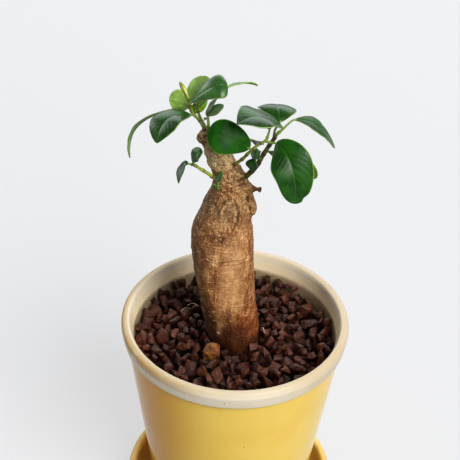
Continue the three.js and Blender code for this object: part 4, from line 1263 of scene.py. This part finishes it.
def grainFinish():
    f = Finish("crushedLava")
    fine = f.mottle(0.8, 4, 0.65)
    pores = f.step(f.cells(0.75), 0.30, 0.14)
    colour = f.layered(
        gravel["plum"],
        (f.mark("grainTone"), gravel["rust"]),
        (f.step(fine, 0.42, 0.66) * 0.5, shade(gravel["plum"], 0.72)),
        (f.step(f.mottle(2.6, 3, 0.6), 0.52, 0.68) * 0.32, gravel["pale"]),
        (pores * 0.5, gravel["pore"]),
    )
    normal = f.bump(pores * -1, 0.16, f.bump(f.mottle(1.5, 4, 0.6), 0.55))
    return f.done(colour, fine * 0.25 + 0.36, normal, gravel["specular"])


def grainTree(kinds, finish):  # sets a crushed grain of its own turn and tone on each point
    tree = bpy.data.node_groups.new("scatterGrains", "GeometryNodeTree")
    sheet, face = Sheet(tree), tree.interface
    face.new_socket("Geometry", in_out="INPUT", socket_type="NodeSocketGeometry")
    size = face.new_socket("Grain size", in_out="INPUT", socket_type="NodeSocketFloat")
    seed = face.new_socket("Seed", in_out="INPUT", socket_type="NodeSocketInt")
    face.new_socket("Geometry", in_out="OUTPUT", socket_type="NodeSocketGeometry")

    def entry(name):
        return sheet.node("NodeGroupInput", output=name)

    def chance(kind, place, low, high, shift):  # place is where the node keeps its sockets of this kind
        inputs = {2 * place: low, 2 * place + 1: high, "Seed": entry("Seed") + shift}
        return sheet.node("FunctionNodeRandomValue", {"data_type": kind}, inputs, place)

    full = 2 * math.pi
    placed = sheet.node("GeometryNodeInstanceOnPoints", inputs={
        "Points": entry("Geometry"), "Pick Instance": True,
        "Instance": sheet.node("GeometryNodeCollectionInfo", inputs={
            "Collection": kinds, "Separate Children": True, "Reset Children": True}),
        "Instance Index": chance("INT", 2, 0, gravel["kinds"] - 1, 2),
        "Rotation": chance("FLOAT_VECTOR", 0, (0, 0, 0), (full, full, full), 1),
        "Scale": sheet.node("GeometryNodeInputNamedAttribute", {"data_type": "FLOAT"},
                            {"Name": "grainRadius"}, "Attribute") * entry("Grain size"),
    })
    toned = sheet.node("GeometryNodeStoreNamedAttribute", {"data_type": "FLOAT", "domain": "INSTANCE"}, {
        "Geometry": placed, "Name": "grainTone", "Value": chance("FLOAT", 1, 0.0, 1.0, 3)})
    real = sheet.node("GeometryNodeRealizeInstances", inputs=[toned])
    painted = sheet.node("GeometryNodeSetMaterial", inputs={"Geometry": real, "Material": finish})
    sheet.node("NodeGroupOutput", inputs=[painted])
    return tree, size.identifier, seed.identifier


def grainKinds():  # a few crushed grains that the bed repeats
    kinds = bpy.data.collections.new("grainKinds")
    draw = random.Random(gravel["seed"] + 1)
    for k in range(gravel["kinds"]):
        stretch = (draw.uniform(1.1, 1.6), draw.uniform(0.85, 1.15), draw.uniform(0.6, 0.95))
        lump = crushedStone(100 + k, draw.choice(gravel["corners"]), stretch, gravel["bevel"], 1)
        rock = bpy.data.meshes.new("grain")
        lump.to_mesh(rock)
        lump.free()
        rock.polygons.foreach_set("use_smooth", [False] * len(rock.polygons))
        kinds.objects.link(bpy.data.objects.new("grain" + str(k), rock))
    return kinds


def addGravel():
    places = grainPlaces()
    mesh = bpy.data.meshes.new("grainPlaces")
    mesh.from_pydata([Vector(p[:3]) * mm for p in places], [], [])
    mesh.attributes.new("grainRadius", "FLOAT", "POINT").data.foreach_set("value", [p[3] for p in places])
    points = bpy.data.objects.new("grainPlaces", mesh)
    bpy.context.scene.collection.objects.link(points)
    kinds = grainKinds()
    tree, size, seed = grainTree(kinds, grainFinish())
    scatter = points.modifiers.new("scatterGrains", "NODES")
    scatter.node_group = tree
    scatter[size] = mm
    scatter[seed] = gravel["seed"]
    graph = bpy.context.evaluated_depsgraph_get()
    made = bpy.data.meshes.new_from_object(points.evaluated_get(graph))
    bpy.data.objects.remove(points)
    for rock in list(kinds.objects):
        bpy.data.objects.remove(rock)
    bpy.data.collections.remove(kinds)
    piece = bpy.data.objects.new("gravelBed", made)
    bpy.context.scene.collection.objects.link(piece)
    dress(piece, "lava_gravel", "gravel")
    print("gravel has", len(places), "grains and", len(made.polygons), "faces")


def addStone():
    f = Finish("ochreStone")
    patches = f.mottle(3.2, 4, 0.65)
    normal = f.bump(f.mottle(0.7, 4, 0.65), 0.35, f.bump(patches, 1.0))
    finish = f.done(f.ramp(patches, *stone["tones"]), 0.62, normal, stone["specular"])
    lump = crushedStone(stone["seed"], stone["corners"], stone["stretch"], stone["bevel"], 2)
    bmesh.ops.triangulate(lump, faces=lump.faces)
    bmesh.ops.subdivide_edges(lump, edges=lump.edges, cuts=3, use_grid_fill=True)
    shape = Shape()
    for vertex in lump.verts:
        place = vertex.co * stone["size"]
        dents = noise.noise(place / 1.9) + 0.5 * noise.noise(place / 0.8)
        shape.vertices.append(Vector(stone["at"]) + place + vertex.co.normalized() * stone["rugged"] * dents)
    lump.verts.index_update()
    shape.addFaces([tuple(vertex.index for vertex in face.verts) for face in lump.faces])
    lump.free()
    addPiece("ochreStone", shape, [finish], "ochre_stone", "ochre_stone", smooth=False)


def addStraws():  # dry root threads that lie between the grains
    f = Finish("dryStraw")
    finish = f.done(f.mix(f.mottle(1.5, 2), straws["pale"], straws["dull"]), 0.6)
    shape = Shape()
    for line in straws["lines"]:
        addTube(shape, evenly(line, 14), [0.2 + 0.05 * math.sin(i) for i in range(14)], sides=8)
    addPiece("straws", shape, [finish], "potting_soil")


addGravel()
addStone()
addStraws()

print("all pieces are in place")
